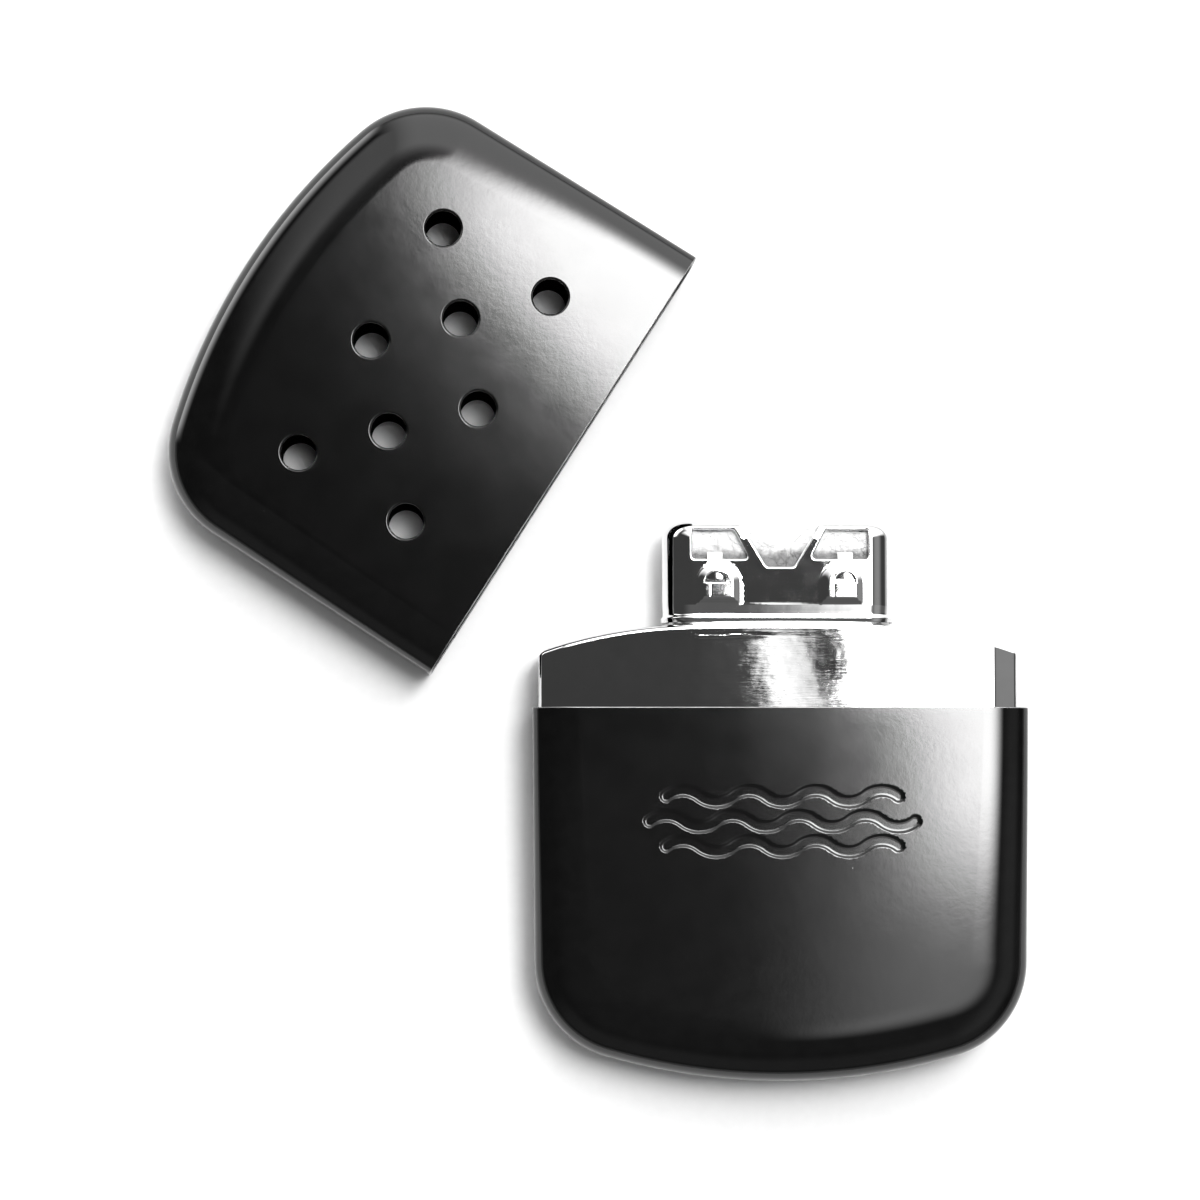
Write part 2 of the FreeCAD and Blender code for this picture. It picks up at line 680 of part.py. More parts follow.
g = polygon(sk, pts)
for i, (xn, yn) in enumerate(
    (
        ("-dims.notch_half_low", "dims.notch_low"),
        ("dims.notch_half_low", "dims.notch_low"),
        ("dims.notch_half_top", "dims.burner_top"),
        ("dims.notch_half_top", "dims.burner_top + 2"),
        ("-dims.notch_half_top", "dims.burner_top + 2"),
        ("-dims.notch_half_top", "dims.burner_top"),
    )
):
    at(sk, "n%d" % i, g + i, 1, (xn, pts[i][0]), (yn, pts[i][1]))
notch_cut = pocket(burner_housing, "notch_cut", sk, "dims.shell_depth + 2", reverse=True)

# clip tongues: a shallow arch standing proud on each face, open at its head
face_z = MID + D["burner_depth"] / 2
r, y0 = D["tongue_half"], D["tongue_foot"]
for side, lift, back in (("front", "(dims.shell_depth + dims.burner_depth) / 2 - 0.2", False),
                         ("back", "(dims.shell_depth - dims.burner_depth) / 2 + 0.2", True)):
    sk = sketch(burner_housing, "tongues_" + side, "XY_Plane", lift)
    for k, sgn in enumerate((-1, 1)):
        xc = sgn * D["tongue_x"]
        yc = y0 + 2.7
        g = closed(
            sk,
            [
                line((xc - r, y0), (xc + r, y0)),
                line((xc + r, y0), (xc + r, yc)),
                arc((xc, yc), r, 0, math.pi),
                line((xc - r, yc), (xc - r, y0)),
            ],
        )
        sk.addConstraint([C("Horizontal", g), C("Vertical", g + 1), C("Vertical", g + 3)])
        at(sk, "t%d" % k, g + 2, 3, (("-" if sgn < 0 else "") + "dims.tongue_x", xc), ("dims.tongue_foot + 2.7", yc))
        size(sk, "t%d_r" % k, "dims.tongue_half", "Radius", g + 2, r)
        size(sk, "t%d_foot" % k, "dims.tongue_foot", "DistanceY", -1, 1, g, 1, y0)
    arch = pad(burner_housing, "arches_" + side, sk, "dims.tongue_rise + 0.2", back)
for side, lift, back in (("front", "dims.shell_depth / 2 + 2", True), ("back", "dims.shell_depth / 2 - 2", False)):
    sk = sketch(burner_housing, "slots_" + side, "XY_Plane", lift)
    for k, sgn in enumerate((-1, 1)):
        xc, yc = sgn * (D["tongue_x"] + 0.5), D["tongue_foot"] + 2.95
        g = closed(sk, [line((xc - 1.35, yc), (xc + 1.35, yc)), arc((xc, yc), 1.35, 0, math.pi)])
        sk.addConstraint(C("Horizontal", g))
        sk.addConstraint(C("PointOnObject", g + 1, 3, g))
        at(
            sk,
            "s%d" % k,
            g + 1,
            3,
            (("-" if sgn < 0 else "") + "(dims.tongue_x + 0.5)", xc),
            ("dims.tongue_foot + 2.95", yc),
        )
        size(sk, "s%d_r" % k, "dims.tongue_half - 1.6", "Radius", g + 1, 1.35)
    slots = pocket(burner_housing, "slot_cut_" + side, sk, "4", reverse=back)
burner_housing.Tip = slots

catalyst_tray = new_body("catalyst_tray")
sk = sketch(catalyst_tray, "tray_section", "XZ_Plane", "-dims.tray_floor")
L, T = D["burner_width"] / 2 - D["burner_sheet"] - 0.05, D["burner_depth"] / 2 - D["burner_sheet"] - 0.05
c = L - T
sk.addGeometry(
    [
        line((-c, MID - T), (c, MID - T)),
        arc((c, MID), T, -math.pi / 2, math.pi / 2),
        line((c, MID + T), (-c, MID + T)),
        arc((-c, MID), T, math.pi / 2, 3 * math.pi / 2),
    ],
    False,
)
sk.addConstraint([C("Tangent", i, 2, (i + 1) % 4, 1) for i in range(4)])
sk.addConstraint([C("Horizontal", 0), C("Symmetric", 1, 3, 3, 3, -2)])
size(sk, "half_depth", "dims.burner_depth / 2 - dims.burner_sheet - 0.05", "Radius", 1, T)
size(sk, "spread", "dims.burner_width - dims.burner_depth", "DistanceX", 3, 3, 1, 3, 2 * c)
size(sk, "middle", "dims.shell_depth / 2", "DistanceY", -1, 1, 1, 3, MID)
floor = pad(catalyst_tray, "tray_plate", sk, "dims.tray_sheet", True)
for side, lift, back in (
    ("front", "(dims.shell_depth + dims.burner_depth) / 2 - dims.burner_sheet - 0.05", True),
    ("back", "(dims.shell_depth - dims.burner_depth) / 2 + dims.burner_sheet + 0.05", False),
):
    sk = sketch(catalyst_tray, "tabs_" + side, "XY_Plane", lift)
    for k, sgn in enumerate((-1, 1)):
        xc, hw = sgn * D["tab_x"], D["tab_half"]
        g = polygon(
            sk,
            [
                (xc - hw, D["tray_floor"]),
                (xc + hw, D["tray_floor"]),
                (xc + hw, D["tab_top"]),
                (xc - hw, D["tab_top"]),
            ],
        )
        sk.addConstraint([C("Horizontal", g), C("Vertical", g + 1), C("Horizontal", g + 2), C("Vertical", g + 3)])
        at(
            sk,
            "tab%d" % k,
            g,
            1,
            (("-" if sgn < 0 else "") + "dims.tab_x - dims.tab_half", xc - hw),
            ("dims.tray_floor", D["tray_floor"]),
        )
        size(sk, "tab%d_wide" % k, "2 * dims.tab_half", "DistanceX", g, 1, g, 2, 2 * hw)
        size(sk, "tab%d_top" % k, "dims.tab_top", "DistanceY", -1, 1, g + 2, 1, D["tab_top"])
    tabs = pad(catalyst_tray, "tab_" + side, sk, "dims.tray_sheet - 0.1", back)
sk = sketch(catalyst_tray, "tray_hole_line", "XZ_Plane", "-dims.tray_floor + 1")
x = -3 * D["tray_pitch"]
g = sk.addGeometry(Part.Circle(V(x, MID, 0), V(0, 0, 1), D["tray_hole"] / 2), False)
size(sk, "bore", "dims.tray_hole / 2", "Radius", g, D["tray_hole"] / 2)
at(sk, "hole", g, 3, ("-3 * dims.tray_pitch", x), ("dims.shell_depth / 2", MID))
hole = pocket(catalyst_tray, "tray_hole_cut", sk, "3")
row = catalyst_tray.newObject("PartDesign::LinearPattern", "tray_holes")
row.Originals = [hole]
row.Direction = (sk, ["H_Axis"])
row.Occurrences = 7
row.setExpression("Length", "6 * dims.tray_pitch")
catalyst_tray.Tip = row
doc.recompute()

# The glass-wool catalyst mat: fills the burner above the tray and dips in the notch.
catalyst_mat = new_body("catalyst_mat")
sk = sketch(catalyst_mat, "mat_section", "XZ_Plane", "-dims.mat_low")
stadium(sk, "mat_width", "mat_depth")
mat_form = pad(catalyst_mat, "mat_form", sk, "dims.mat_high - dims.mat_low", True)
mat_soft = fillet(
    catalyst_mat,
    "mat_top_edge",
    mat_form,
    edges_where(mat_form, lambda e: e.BoundBox.YMin > D["mat_high"] - 1e-6),
    "dims.burner_edge - 0.5",
)
sk = sketch(catalyst_mat, "mat_dip", "XY_Plane", "-1")
pts = [(-1.5, 46.6), (1.5, 46.6), (5.2, 50.4), (-5.2, 50.4)]
g = polygon(sk, pts)
for i, (px, py) in enumerate(pts):
    at(
        sk,
        "d%d" % i,
        g + i,
        1,
        ("%g * dims.notch_half_top / %g" % (px, D["notch_half_top"]), px),
        ("dims.burner_top - %g" % (D["burner_top"] - py), py),
    )
mat_dip = pocket(catalyst_mat, "mat_dip_cut", sk, "dims.shell_depth + 2", reverse=True)
catalyst_mat.Tip = mat_dip

doc.recompute()

# ------------------------------------------------------------------- checks
PARTS = [
    outer_case,
    tank_top,
    tank_seam,
    filler_collar,
    wick_felt,
    wadding_left,
    wadding_centre,
    wadding_right,
    wadding_neck,
    burner_housing,
    catalyst_tray,
    catalyst_mat,
    lid_shell,
]
bad = [
    "%s: %s" % (o.Name, o.State)
    for o in doc.Objects
    if any(word in ("Invalid", "Error") for word in o.State)
]
for o in PARTS:
    if o.Shape.isNull() or not o.Shape.isValid():
        bad.append("%s has no valid shape" % o.Label)
if bad:
    raise RuntimeError("; ".join(bad))

print("vents: %d" % n_hole)
for o in PARTS:
    s = o.Shape
    b = s.BoundBox
    print(
        "%-16s solids %d volume %9.2f mm3  x %.2f..%.2f y %.2f..%.2f z %.2f..%.2f"
        % (o.Label, len(s.Solids), s.Volume, b.XMin, b.XMax, b.YMin, b.YMax, b.ZMin, b.ZMax)
    )
    s.exportStep("parts/%s.step" % o.Label)
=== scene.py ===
"""Looks of the catalytic hand warmer: case and neck at the right, vent lid beside it, seen from above on a pale table."""

import math

import bpy
import bmesh
import numpy as np
from mathutils import Matrix, Vector, noise
from mathutils.geometry import delaunay_2d_cdt


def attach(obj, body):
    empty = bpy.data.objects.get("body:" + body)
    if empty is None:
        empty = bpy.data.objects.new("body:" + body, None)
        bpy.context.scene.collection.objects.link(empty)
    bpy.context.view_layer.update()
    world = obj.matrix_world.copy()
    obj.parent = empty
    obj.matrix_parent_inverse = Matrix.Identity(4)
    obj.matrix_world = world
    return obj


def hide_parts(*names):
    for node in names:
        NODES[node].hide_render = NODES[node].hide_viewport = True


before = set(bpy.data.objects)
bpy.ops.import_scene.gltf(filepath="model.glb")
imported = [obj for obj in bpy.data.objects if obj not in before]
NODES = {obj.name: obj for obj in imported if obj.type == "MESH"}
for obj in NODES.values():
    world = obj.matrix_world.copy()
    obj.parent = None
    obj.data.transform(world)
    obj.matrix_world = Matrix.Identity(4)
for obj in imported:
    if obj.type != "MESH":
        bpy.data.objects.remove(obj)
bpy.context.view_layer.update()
MM = 0.001
SCENE = bpy.context.scene


# ---------------------------------------------------------------- node helpers
class Net:
    """A node tree with short calls for the nodes used below. A socket or a number goes in, a socket comes out."""

    def __init__(self, tree):
        self.tree = tree
        self.nodes = tree.nodes
        self.links = tree.links
        self.nodes.clear()
        self._coord = None

    def put(self, target, value):
        if isinstance(value, bpy.types.NodeSocket):
            self.links.new(value, target)
        elif value is not None:
            target.default_value = value

    def node(self, kind, **settings):
        n = self.nodes.new(kind)
        for k, v in settings.items():
            setattr(n, k, v)
        return n

    def math(self, op, a, b=None, c=None, clamp=False):
        n = self.node("ShaderNodeMath", operation=op, use_clamp=clamp)
        for i, v in enumerate((a, b, c)):
            if v is not None:
                self.put(n.inputs[i], v)
        return n.outputs[0]

    def add(self, a, b):
        return self.math("ADD", a, b)

    def sub(self, a, b):
        return self.math("SUBTRACT", a, b)

    def mul(self, *v):
        out = v[0]
        for x in v[1:]:
            out = self.math("MULTIPLY", out, x)
        return out

    def maxi(self, a, b):
        return self.math("MAXIMUM", a, b)

    def ramp(self, v, lo, hi, a=0.0, b=1.0, smooth=True):
        n = self.node("ShaderNodeMapRange", interpolation_type="SMOOTHSTEP" if smooth else "LINEAR")
        n.clamp = True
        self.put(n.inputs["Value"], v)
        for name, x in (("From Min", lo), ("From Max", hi), ("To Min", a), ("To Max", b)):
            self.put(n.inputs[name], x)
        return n.outputs["Result"]

    @property
    def coord(self):
        if self._coord is None:
            self._coord = self.node("ShaderNodeTexCoord")
        return self._coord.outputs["Object"]

    def split(self, v):
        n = self.node("ShaderNodeSeparateXYZ")
        self.put(n.inputs[0], v)
        return n.outputs[0], n.outputs[1], n.outputs[2]

    def join(self, x, y, z):
        n = self.node("ShaderNodeCombineXYZ")
        for i, v in enumerate((x, y, z)):
            self.put(n.inputs[i], v)
        return n.outputs[0]

    def mapped(self, vector=None, scale=(1, 1, 1), turn=(0, 0, 0), shift=(0, 0, 0)):
        n = self.node("ShaderNodeMapping")
        self.put(n.inputs["Vector"], self.coord if vector is None else vector)
        n.inputs["Scale"].default_value = scale
        n.inputs["Rotation"].default_value = turn
        n.inputs["Location"].default_value = shift
        return n.outputs[0]

    def noise(self, size_mm, detail=2.0, rough=0.5, vector=None, distort=0.0, offset=0.0):
        n = self.node("ShaderNodeTexNoise", noise_dimensions="3D")
        v = self.coord if vector is None else vector
        if offset:
            m = self.node("ShaderNodeVectorMath", operation="ADD")
            self.put(m.inputs[0], v)
            m.inputs[1].default_value = (offset, offset * 1.7, offset * 0.6)
            v = m.outputs[0]
        self.put(n.inputs["Vector"], v)
        n.inputs["Scale"].default_value = 1000.0 / size_mm
        n.inputs["Detail"].default_value = detail
        n.inputs["Roughness"].default_value = rough
        n.inputs["Distortion"].default_value = distort
        return n.outputs["Fac"]

    def voronoi(self, size_mm, feature="F1", vector=None, random=1.0):
        n = self.node("ShaderNodeTexVoronoi", feature=feature)
        self.put(n.inputs["Vector"], self.coord if vector is None else vector)
        n.inputs["Scale"].default_value = 1000.0 / size_mm
        n.inputs["Randomness"].default_value = random
        return n

    def mixed(self, fac, a, b):
        n = self.node("ShaderNodeMix", data_type="FLOAT")
        n.clamp_factor = True
        self.put(n.inputs[0], fac)
        self.put(n.inputs[2], a)
        self.put(n.inputs[3], b)
        return n.outputs[0]

    def grey(self, v, tint=(1.0, 1.0, 1.0)):
        """A colour from a brightness."""
        if tint == (1.0, 1.0, 1.0):
            return self.join(v, v, v)
        return self.join(self.mul(v, tint[0]), self.mul(v, tint[1]), self.mul(v, tint[2]))

    def bump(self, height, distance, strength=1.0, normal=None):
        n = self.node("ShaderNodeBump")
        n.inputs["Strength"].default_value = strength
        n.inputs["Distance"].default_value = distance
        self.put(n.inputs["Height"], height)
        if normal is not None:
            self.put(n.inputs["Normal"], normal)
        return n.outputs[0]

    def surface(self, **inputs):
        n = self.node("ShaderNodeBsdfPrincipled")
        for k, v in inputs.items():
            self.put(n.inputs[k.replace("_", " ")], v)
        out = self.node("ShaderNodeOutputMaterial")
        self.links.new(n.outputs[0], out.inputs["Surface"])
        return n


def material(name):
    m = bpy.data.materials.new(name)
    m.use_nodes = True
    return m, Net(m.node_tree)


def rgb(v):
    return (v, v, v, 1.0)


# ---------------------------------------------------------------- materials
def black_enamel(name, along, rim):
    """Satin black stoved enamel on drawn steel. along: unit vector of the draw, not used. rim: (axis vector, place in
    mm of the cut edge), not used.
    """
    m, n = material(name)
    # orange peel, and the fine grain of the coat
    peel = n.noise(0.9, 1.5, 0.5)
    grain = n.noise(0.22, 1.0, 0.5, offset=0.31)
    normal = n.bump(grain, 0.35e-6)
    normal = n.bump(peel, 0.75e-6, normal=normal)
    # dust nibs under the coat
    cells = n.voronoi(3.1)
    near = n.ramp(cells.outputs["Distance"], 0.018, 0.034, 1.0, 0.0)
    pick = n.node("ShaderNodeSeparateColor")
    n.put(pick.inputs[0], cells.outputs["Color"])
    nib = n.mul(near, n.ramp(pick.outputs[0], 0.80, 0.83))
    rough = n.add(n.ramp(n.noise(5.0, 3.0, 0.6, offset=0.12), 0.3, 0.7, 0.052, 0.062), n.mul(nib, 0.2))
    value = n.add(n.ramp(n.noise(2.2, 3.0, 0.6, offset=0.5), 0.3, 0.7, 0.0020, 0.0030), n.mul(nib, 0.05))
    n.surface(
        Base_Color=n.grey(value),
        Roughness=rough,
        Metallic=0.0,
        IOR=1.5,
        Normal=normal,
    )
    return m


def bright_metal(name, value=0.78, rough=(0.05, 0.09), streak=None, dents=0.0, stain=0.1):
    """Plated metal. streak: (size across, size along, height in m) of the polishing marks."""
    m, n = material(name)
    normal = None
    r = n.ramp(n.noise(2.5, 3.0, 0.6), 0.3, 0.7, rough[0], rough[1])
    v = n.ramp(n.noise(4.0, 3.0, 0.6, offset=0.2), 0.3, 0.75, value * (1 - stain), value)
    if dents:
        normal = n.bump(n.noise(3.2, 1.0, 0.5, offset=0.4), dents)
    if streak:
        across, along, high = streak
        lines = n.noise(1.0, 3.0, 0.65, vector=n.mapped(scale=(1 / along, 1 / across, 1 / across)))
        normal = n.bump(lines, high, normal=normal)
        r = n.add(r, n.ramp(lines, 0.35, 0.75, 0.0, 0.05))
    n.surface(Base_Color=n.grey(v), Roughness=r, Metallic=1.0, Normal=normal)
    return m


def drawn_chrome(name, value, ripple, dents, zone=None, rubbed=()):
    """Bright plated sheet: fine ripples left across the draw, shallow dents, specks and rubbed patches."""
    m, n = material(name)
    lines = n.noise(1.0, 3.0, 0.6, vector=n.mapped(scale=(1 / 3.6, 1 / 0.34, 1 / 0.34)))
    where = n.ramp(n.noise(9.0, 2.0, 0.5, offset=0.7), 0.35, 0.65, 0.45, 1.0)
    if zone:
        x, _, _ = n.split(n.coord)
        where = n.mul(where, n.ramp(x, zone[0] * MM, zone[1] * MM, 0.12, 1.0))
    broad = n.noise(2.6, 1.5, 0.5, offset=0.4)
    fine = n.noise(0.5, 2.0, 0.6, offset=0.9)
    normal = n.bump(broad, dents)
    normal = n.bump(n.mul(lines, where), ripple, normal=normal)
    normal = n.bump(fine, 0.12e-6, normal=normal)
    specks = n.voronoi(0.55)
    speck = n.mul(n.ramp(specks.outputs["Distance"], 0.10, 0.2, 1.0, 0.0), n.ramp(n.noise(1.1, 2.0, 0.6, offset=1.3), 0.52, 0.62))
    r = n.add(n.ramp(n.noise(2.5, 3.0, 0.6), 0.3, 0.7, 0.010, 0.020), n.ramp(fine, 0.62, 0.8, 0.0, 0.012))
    r = n.add(r, n.mul(speck, 0.022))
    v = n.mul(n.ramp(n.noise(5.0, 3.0, 0.6, offset=0.2), 0.3, 0.75, value * 0.94, value), n.ramp(fine, 0.66, 0.78, 1.0, 0.9))
    for cx, half, y0, y1 in rubbed:
        # a tongue pressed up by the die, whose face is left a little duller than the sheet round it
        x, y, _ = n.split(n.coord)
        off = n.math("ABSOLUTE", n.sub(x, cx * MM))
        patch = n.mul(n.ramp(off, (half - 0.4) * MM, half * MM, 1.0, 0.0), n.ramp(y, y0 * MM, (y0 + 0.4) * MM), n.ramp(y, (y1 - 0.5) * MM, y1 * MM, 1.0, 0.0))
        r = n.add(r, n.mul(patch, n.ramp(n.noise(0.8, 2.0, 0.6, vector=n.mapped(scale=(1.0, 0.45, 1.0))), 0.3, 0.7, 0.028, 0.044)))
    n.surface(Base_Color=n.grey(v), Roughness=r, Metallic=1.0, Normal=normal)
    return m


def fibre(name, value, size=0.25, high=6e-5, sheen=0.3):
    m, n = material(name)
    strands = n.noise(size, 4.0, 0.7, distort=1.2)
    clumps = n.noise(size * 5, 3.0, 0.6, offset=0.3)
    v = n.mul(n.ramp(strands, 0.25, 0.75, value * 0.7, value), n.ramp(clumps, 0.3, 0.7, 0.9, 1.0))
    normal = n.bump(n.add(strands, n.mul(clumps, 1.5)), high)
    n.surface(Base_Color=n.grey(v), Roughness=n.ramp(strands, 0.3, 0.7, 0.85, 0.98), Sheen_Weight=sheen, Sheen_Roughness=0.4, Normal=normal)
    return m


def glass_wool():
    """White glass fibre, with painted shade that darkens it low down where it meets the sills and the floor of the
    notch.
    """
    m, n = material("glass_wool")
    strands = n.noise(0.16, 4.0, 0.7, vector=n.mapped(scale=(0.55, 1.6, 1.0)), distort=2.0)
    clumps = n.noise(1.2, 3.0, 0.6, offset=0.3)
    x, y, z = n.split(n.coord)
    # painted shade: the wool's colour darkens towards the bottom, under the window sills and on the notch floor, where
    # shade falls
    edge = n.add(n.mul(y, 1000.0), n.mul(n.sub(clumps, 0.5), 2.4))
    grey = n.ramp(edge, 44.9, 46.5, 0.30, 1.0)
    v = n.mul(n.ramp(strands, 0.3, 0.7, 0.80, 0.99), grey)
    n.surface(Base_Color=n.grey(v), Roughness=n.ramp(strands, 0.3, 0.7, 0.8, 0.96), Sheen_Weight=0.2, Sheen_Roughness=0.4, Normal=n.bump(strands, 5e-5))
    return m


enamel = black_enamel("black_enamel", None, None)
chrome_neck = drawn_chrome("neck_nickel", 0.76, 1.6e-6, 2.0e-6, zone=(-13.5, -10.5))
chrome_burner = drawn_chrome("burner_chrome", 0.80, 0.3e-6, 2.2e-6, rubbed=((-8.2, 2.5, 38.7, 43.6), (8.2, 2.5, 38.7, 43.6)))
bare_edge = bright_metal("worn_steel_edge", 0.34, (0.3, 0.45), dents=2e-6, stain=0.35)
steel = bright_metal("collar_steel", 0.55, (0.2, 0.3), streak=(0.1, 1.4, 2e-6), stain=0.15)
solder = bright_metal("solder", 0.6, (0.3, 0.45), dents=4e-5, stain=0.2)
tray_steel = bright_metal("tray_steel", 0.66, (0.03, 0.06), dents=1.5e-6, stain=0.12)
felt = fibre("felt", 0.55)
cotton = fibre("cotton", 0.8)
wool = glass_wool()

LOOK = {
    "outer_case": enamel,
    "lid_shell": enamel,
    "tank_top": chrome_neck,
    "burner_housing": chrome_burner,
    "filler_collar": steel,
    "tank_seam": solder,
    "catalyst_tray": tray_steel,
    "wick_felt": felt,
    "wadding_left": cotton,
    "wadding_centre": cotton,
    "wadding_right": cotton,
    "wadding_neck": cotton,
    "catalyst_mat": wool,
}
for name, look in LOOK.items():
    for s in NODES[name].material_slots:
        s.material = look


# ---------------------------------------------------------------- sheet-metal builder
class Sheet:
    """Collects one closed sheet-metal mesh in millimetres: an outer skin, an inner skin and the walls between."""

    def __init__(self, gauge):
        self.gauge = gauge
        self.out, self.base, self.nout, self.nbase = [], [], [], []
        self.index = {}
        self.faces = []

    def vert(self, p, n, base=None, nbase=None):
        key = (round(p[0], 4), round(p[1], 4), round(p[2], 4))
        if key not in self.index:
            self.index[key] = len(self.out)
            self.out.append(Vector(p))
            self.nout.append(Vector(n).normalized())
            self.base.append(Vector(base if base is not None else p))
            self.nbase.append(Vector(nbase if nbase is not None else n).normalized())
        return self.index[key]

    def face(self, ids):
        ids = [i for k, i in enumerate(ids) if i != ids[k - 1]]
        if len(set(ids)) >= 3:
            self.faces.append(ids)

    def build(self, name, rim=None, lip=0.12, place=None, look=None, edge_look=None):
        """rim(point) says whether a boundary point lies on the rolled cut edge; every other boundary gets a plain wall."""
        n = len(self.out)
        verts = list(self.out)
        inner = [b - m * self.gauge for b, m in zip(self.base, self.nbase)]
        verts += inner
        faces, normals, edge_faces = [], [], []
        once = {}
        for f in self.faces:
            faces.append(f)
            normals.append([self.nout[i] for i in f])
            faces.append([i + n for i in reversed(f)])
            normals.append([-self.nbase[i] for i in reversed(f)])
            for k in range(len(f)):
                a, b = f[k - 1], f[k]
                if (b, a) in once:
                    del once[(b, a)]
                else:
                    once[(a, b)] = True
        up = Vector((0, 1, 0))
        ring1, ring2 = {}, {}

        def rings(i):
            if i not in ring1:
                m = self.nout[i]
                ring1[i] = len(verts)
                verts.append(self.out[i] + up * lip - m * lip * 0.9)
                ring2[i] = len(verts)
                verts.append(self.out[i] + up * lip - m * (self.gauge - lip * 0.9))
            return ring1[i], ring2[i]

        for a, b in once:
            if rim is not None and rim(self.out[a]) and rim(self.out[b]):
                a1, a2 = rings(a)
                b1, b2 = rings(b)
                na, nb = self.nout[a], self.nout[b]
                edge_faces += [len(faces), len(faces) + 1, len(faces) + 2]
                faces.append([b, a, a1, b1])
                normals.append([nb, na, (na * 0.4 + up).normalized(), (nb * 0.4 + up).normalized()])
                faces.append([b1, a1, a2, b2])
                normals.append([(nb * 0.4 + up).normalized(), (na * 0.4 + up).normalized(), (up - na * 0.4).normalized(), (up - nb * 0.4).normalized()])
                faces.append([b2, a2, a + n, b + n])
                normals.append([(up - nb * 0.4).normalized(), (up - na * 0.4).normalized(), -na, -nb])
            else:
                faces.append([b, a, a + n, b + n])
                p = [verts[i] for i in (b, a, a + n, b + n)]
                m = (p[2] - p[0]).cross(p[3] - p[1]).normalized()
                normals.append([m] * 4)
        matrix = place or Matrix.Identity(4)
        me = bpy.data.meshes.new(name)
        me.from_pydata([(matrix @ v) * MM for v in verts], [], faces)
        turn = matrix.to_3x3()
        me.polygons.foreach_set("use_smooth", [True] * len(me.polygons))
        me.update()
        me.normals_split_custom_set([tuple(turn @ m) for row in normals for m in row])
        me.update()
        o = bpy.data.objects.new(name, me)
        SCENE.collection.objects.link(o)
        me.materials.append(look)
        if edge_look is not None:
            me.materials.append(edge_look)
            for i in edge_faces:
                me.polygons[i].material_index = 1
        return o


def triangulate(loop, holes, inner_points):
    """Triangles, as point triples, of the flat region inside loop and outside the holes, through every given point."""
    pts, edges = [], []
    for ring in [loop] + holes:
        s = len(pts)
        pts += [Vector(p) for p in ring]
        edges += [(s + i, s + (i + 1) % len(ring)) for i in range(len(ring))]
    pts += [Vector(p) for p in inner_points]
    v, _, f, _, _, _ = delaunay_2d_cdt(pts, edges, [], 0, 1e-7)
    tri = []
    for t in f:
        p = [v[i] for i in t]
        if (p[1] - p[0]).cross(p[2] - p[0]) < 0:
            p.reverse()
        c = (p[0] + p[1] + p[2]) / 3
        if inside(c, loop) and not any(inside(c, h) for h in holes):
            tri.append([tuple(q) for q in p])
    return tri


def inside(p, ring):
    hit = False
    x, y = p[0], p[1]
    j = len(ring) - 1
    for i in range(len(ring)):
        xi, yi = ring[i][0], ring[i][1]
        xj, yj = ring[j][0], ring[j][1]
        if (yi > y) != (yj > y) and x < (xj - xi) * (y - yi) / (yj - yi) + xi:
            hit = not hit
        j = i
    return hit


def shell_path(y_rim, y_end, cut):
    """Half outline of case or lid from the rim at the right down to the axis: points with their outward directions."""
    w, cx, r, big = 33.0, 32.75 - 13.0, 13.0, 84.0
    top = (0.0, y_end + big)
    cy = top[1] - math.sqrt((big - r) ** 2 - cx**2)
    d = math.hypot(w - cx, y_rim - cy)
    a = math.atan2(y_rim - cy, w - cx) - math.acos(r / d)
    b = math.atan2(cy - top[1], cx)
    t = (cx + r * math.cos(a), cy + r * math.sin(a))
    path = []
    steps = 26
    y0 = y_rim - cut
    x0 = w + (t[0] - w) * (y0 - y_rim) / (t[1] - y_rim)
    for i in range(steps):
        k = i / steps
        path.append((x0 + (t[0] - x0) * k, y0 + (t[1] - y0) * k, math.cos(a), math.sin(a)))
    steps = 44
    for i in range(steps):
        g = a + (b - a) * i / steps
        path.append((cx + r * math.cos(g), cy + r * math.sin(g), math.cos(g), math.sin(g)))
    steps = 26
    for i in range(steps + 1):
        g = b + (-math.pi / 2 - b) * i / steps
        path.append((top[0] + big * math.cos(g), top[1] + big * math.sin(g), math.cos(g), math.sin(g)))
    path[-1] = (0.0, y_end, 0.0, -1.0)
    full = path + [(-x, y, -nx, ny) for x, y, nx, ny in reversed(path[:-1])]
    return full


def edge_section(y, y_rim, y_end):
    """Width, depth and fullness of the long edge's rounding: narrow at the drawn mouth, wide at the closed end."""
    k = min(max((y_rim - y) / (y_rim - y_end), 0.0), 1.0)
    k = k * k * (3 - 2 * k)
    return 6.3 + 1.9 * k, 2.8 + 1.7 * k, 2.25 + 0.3 * k


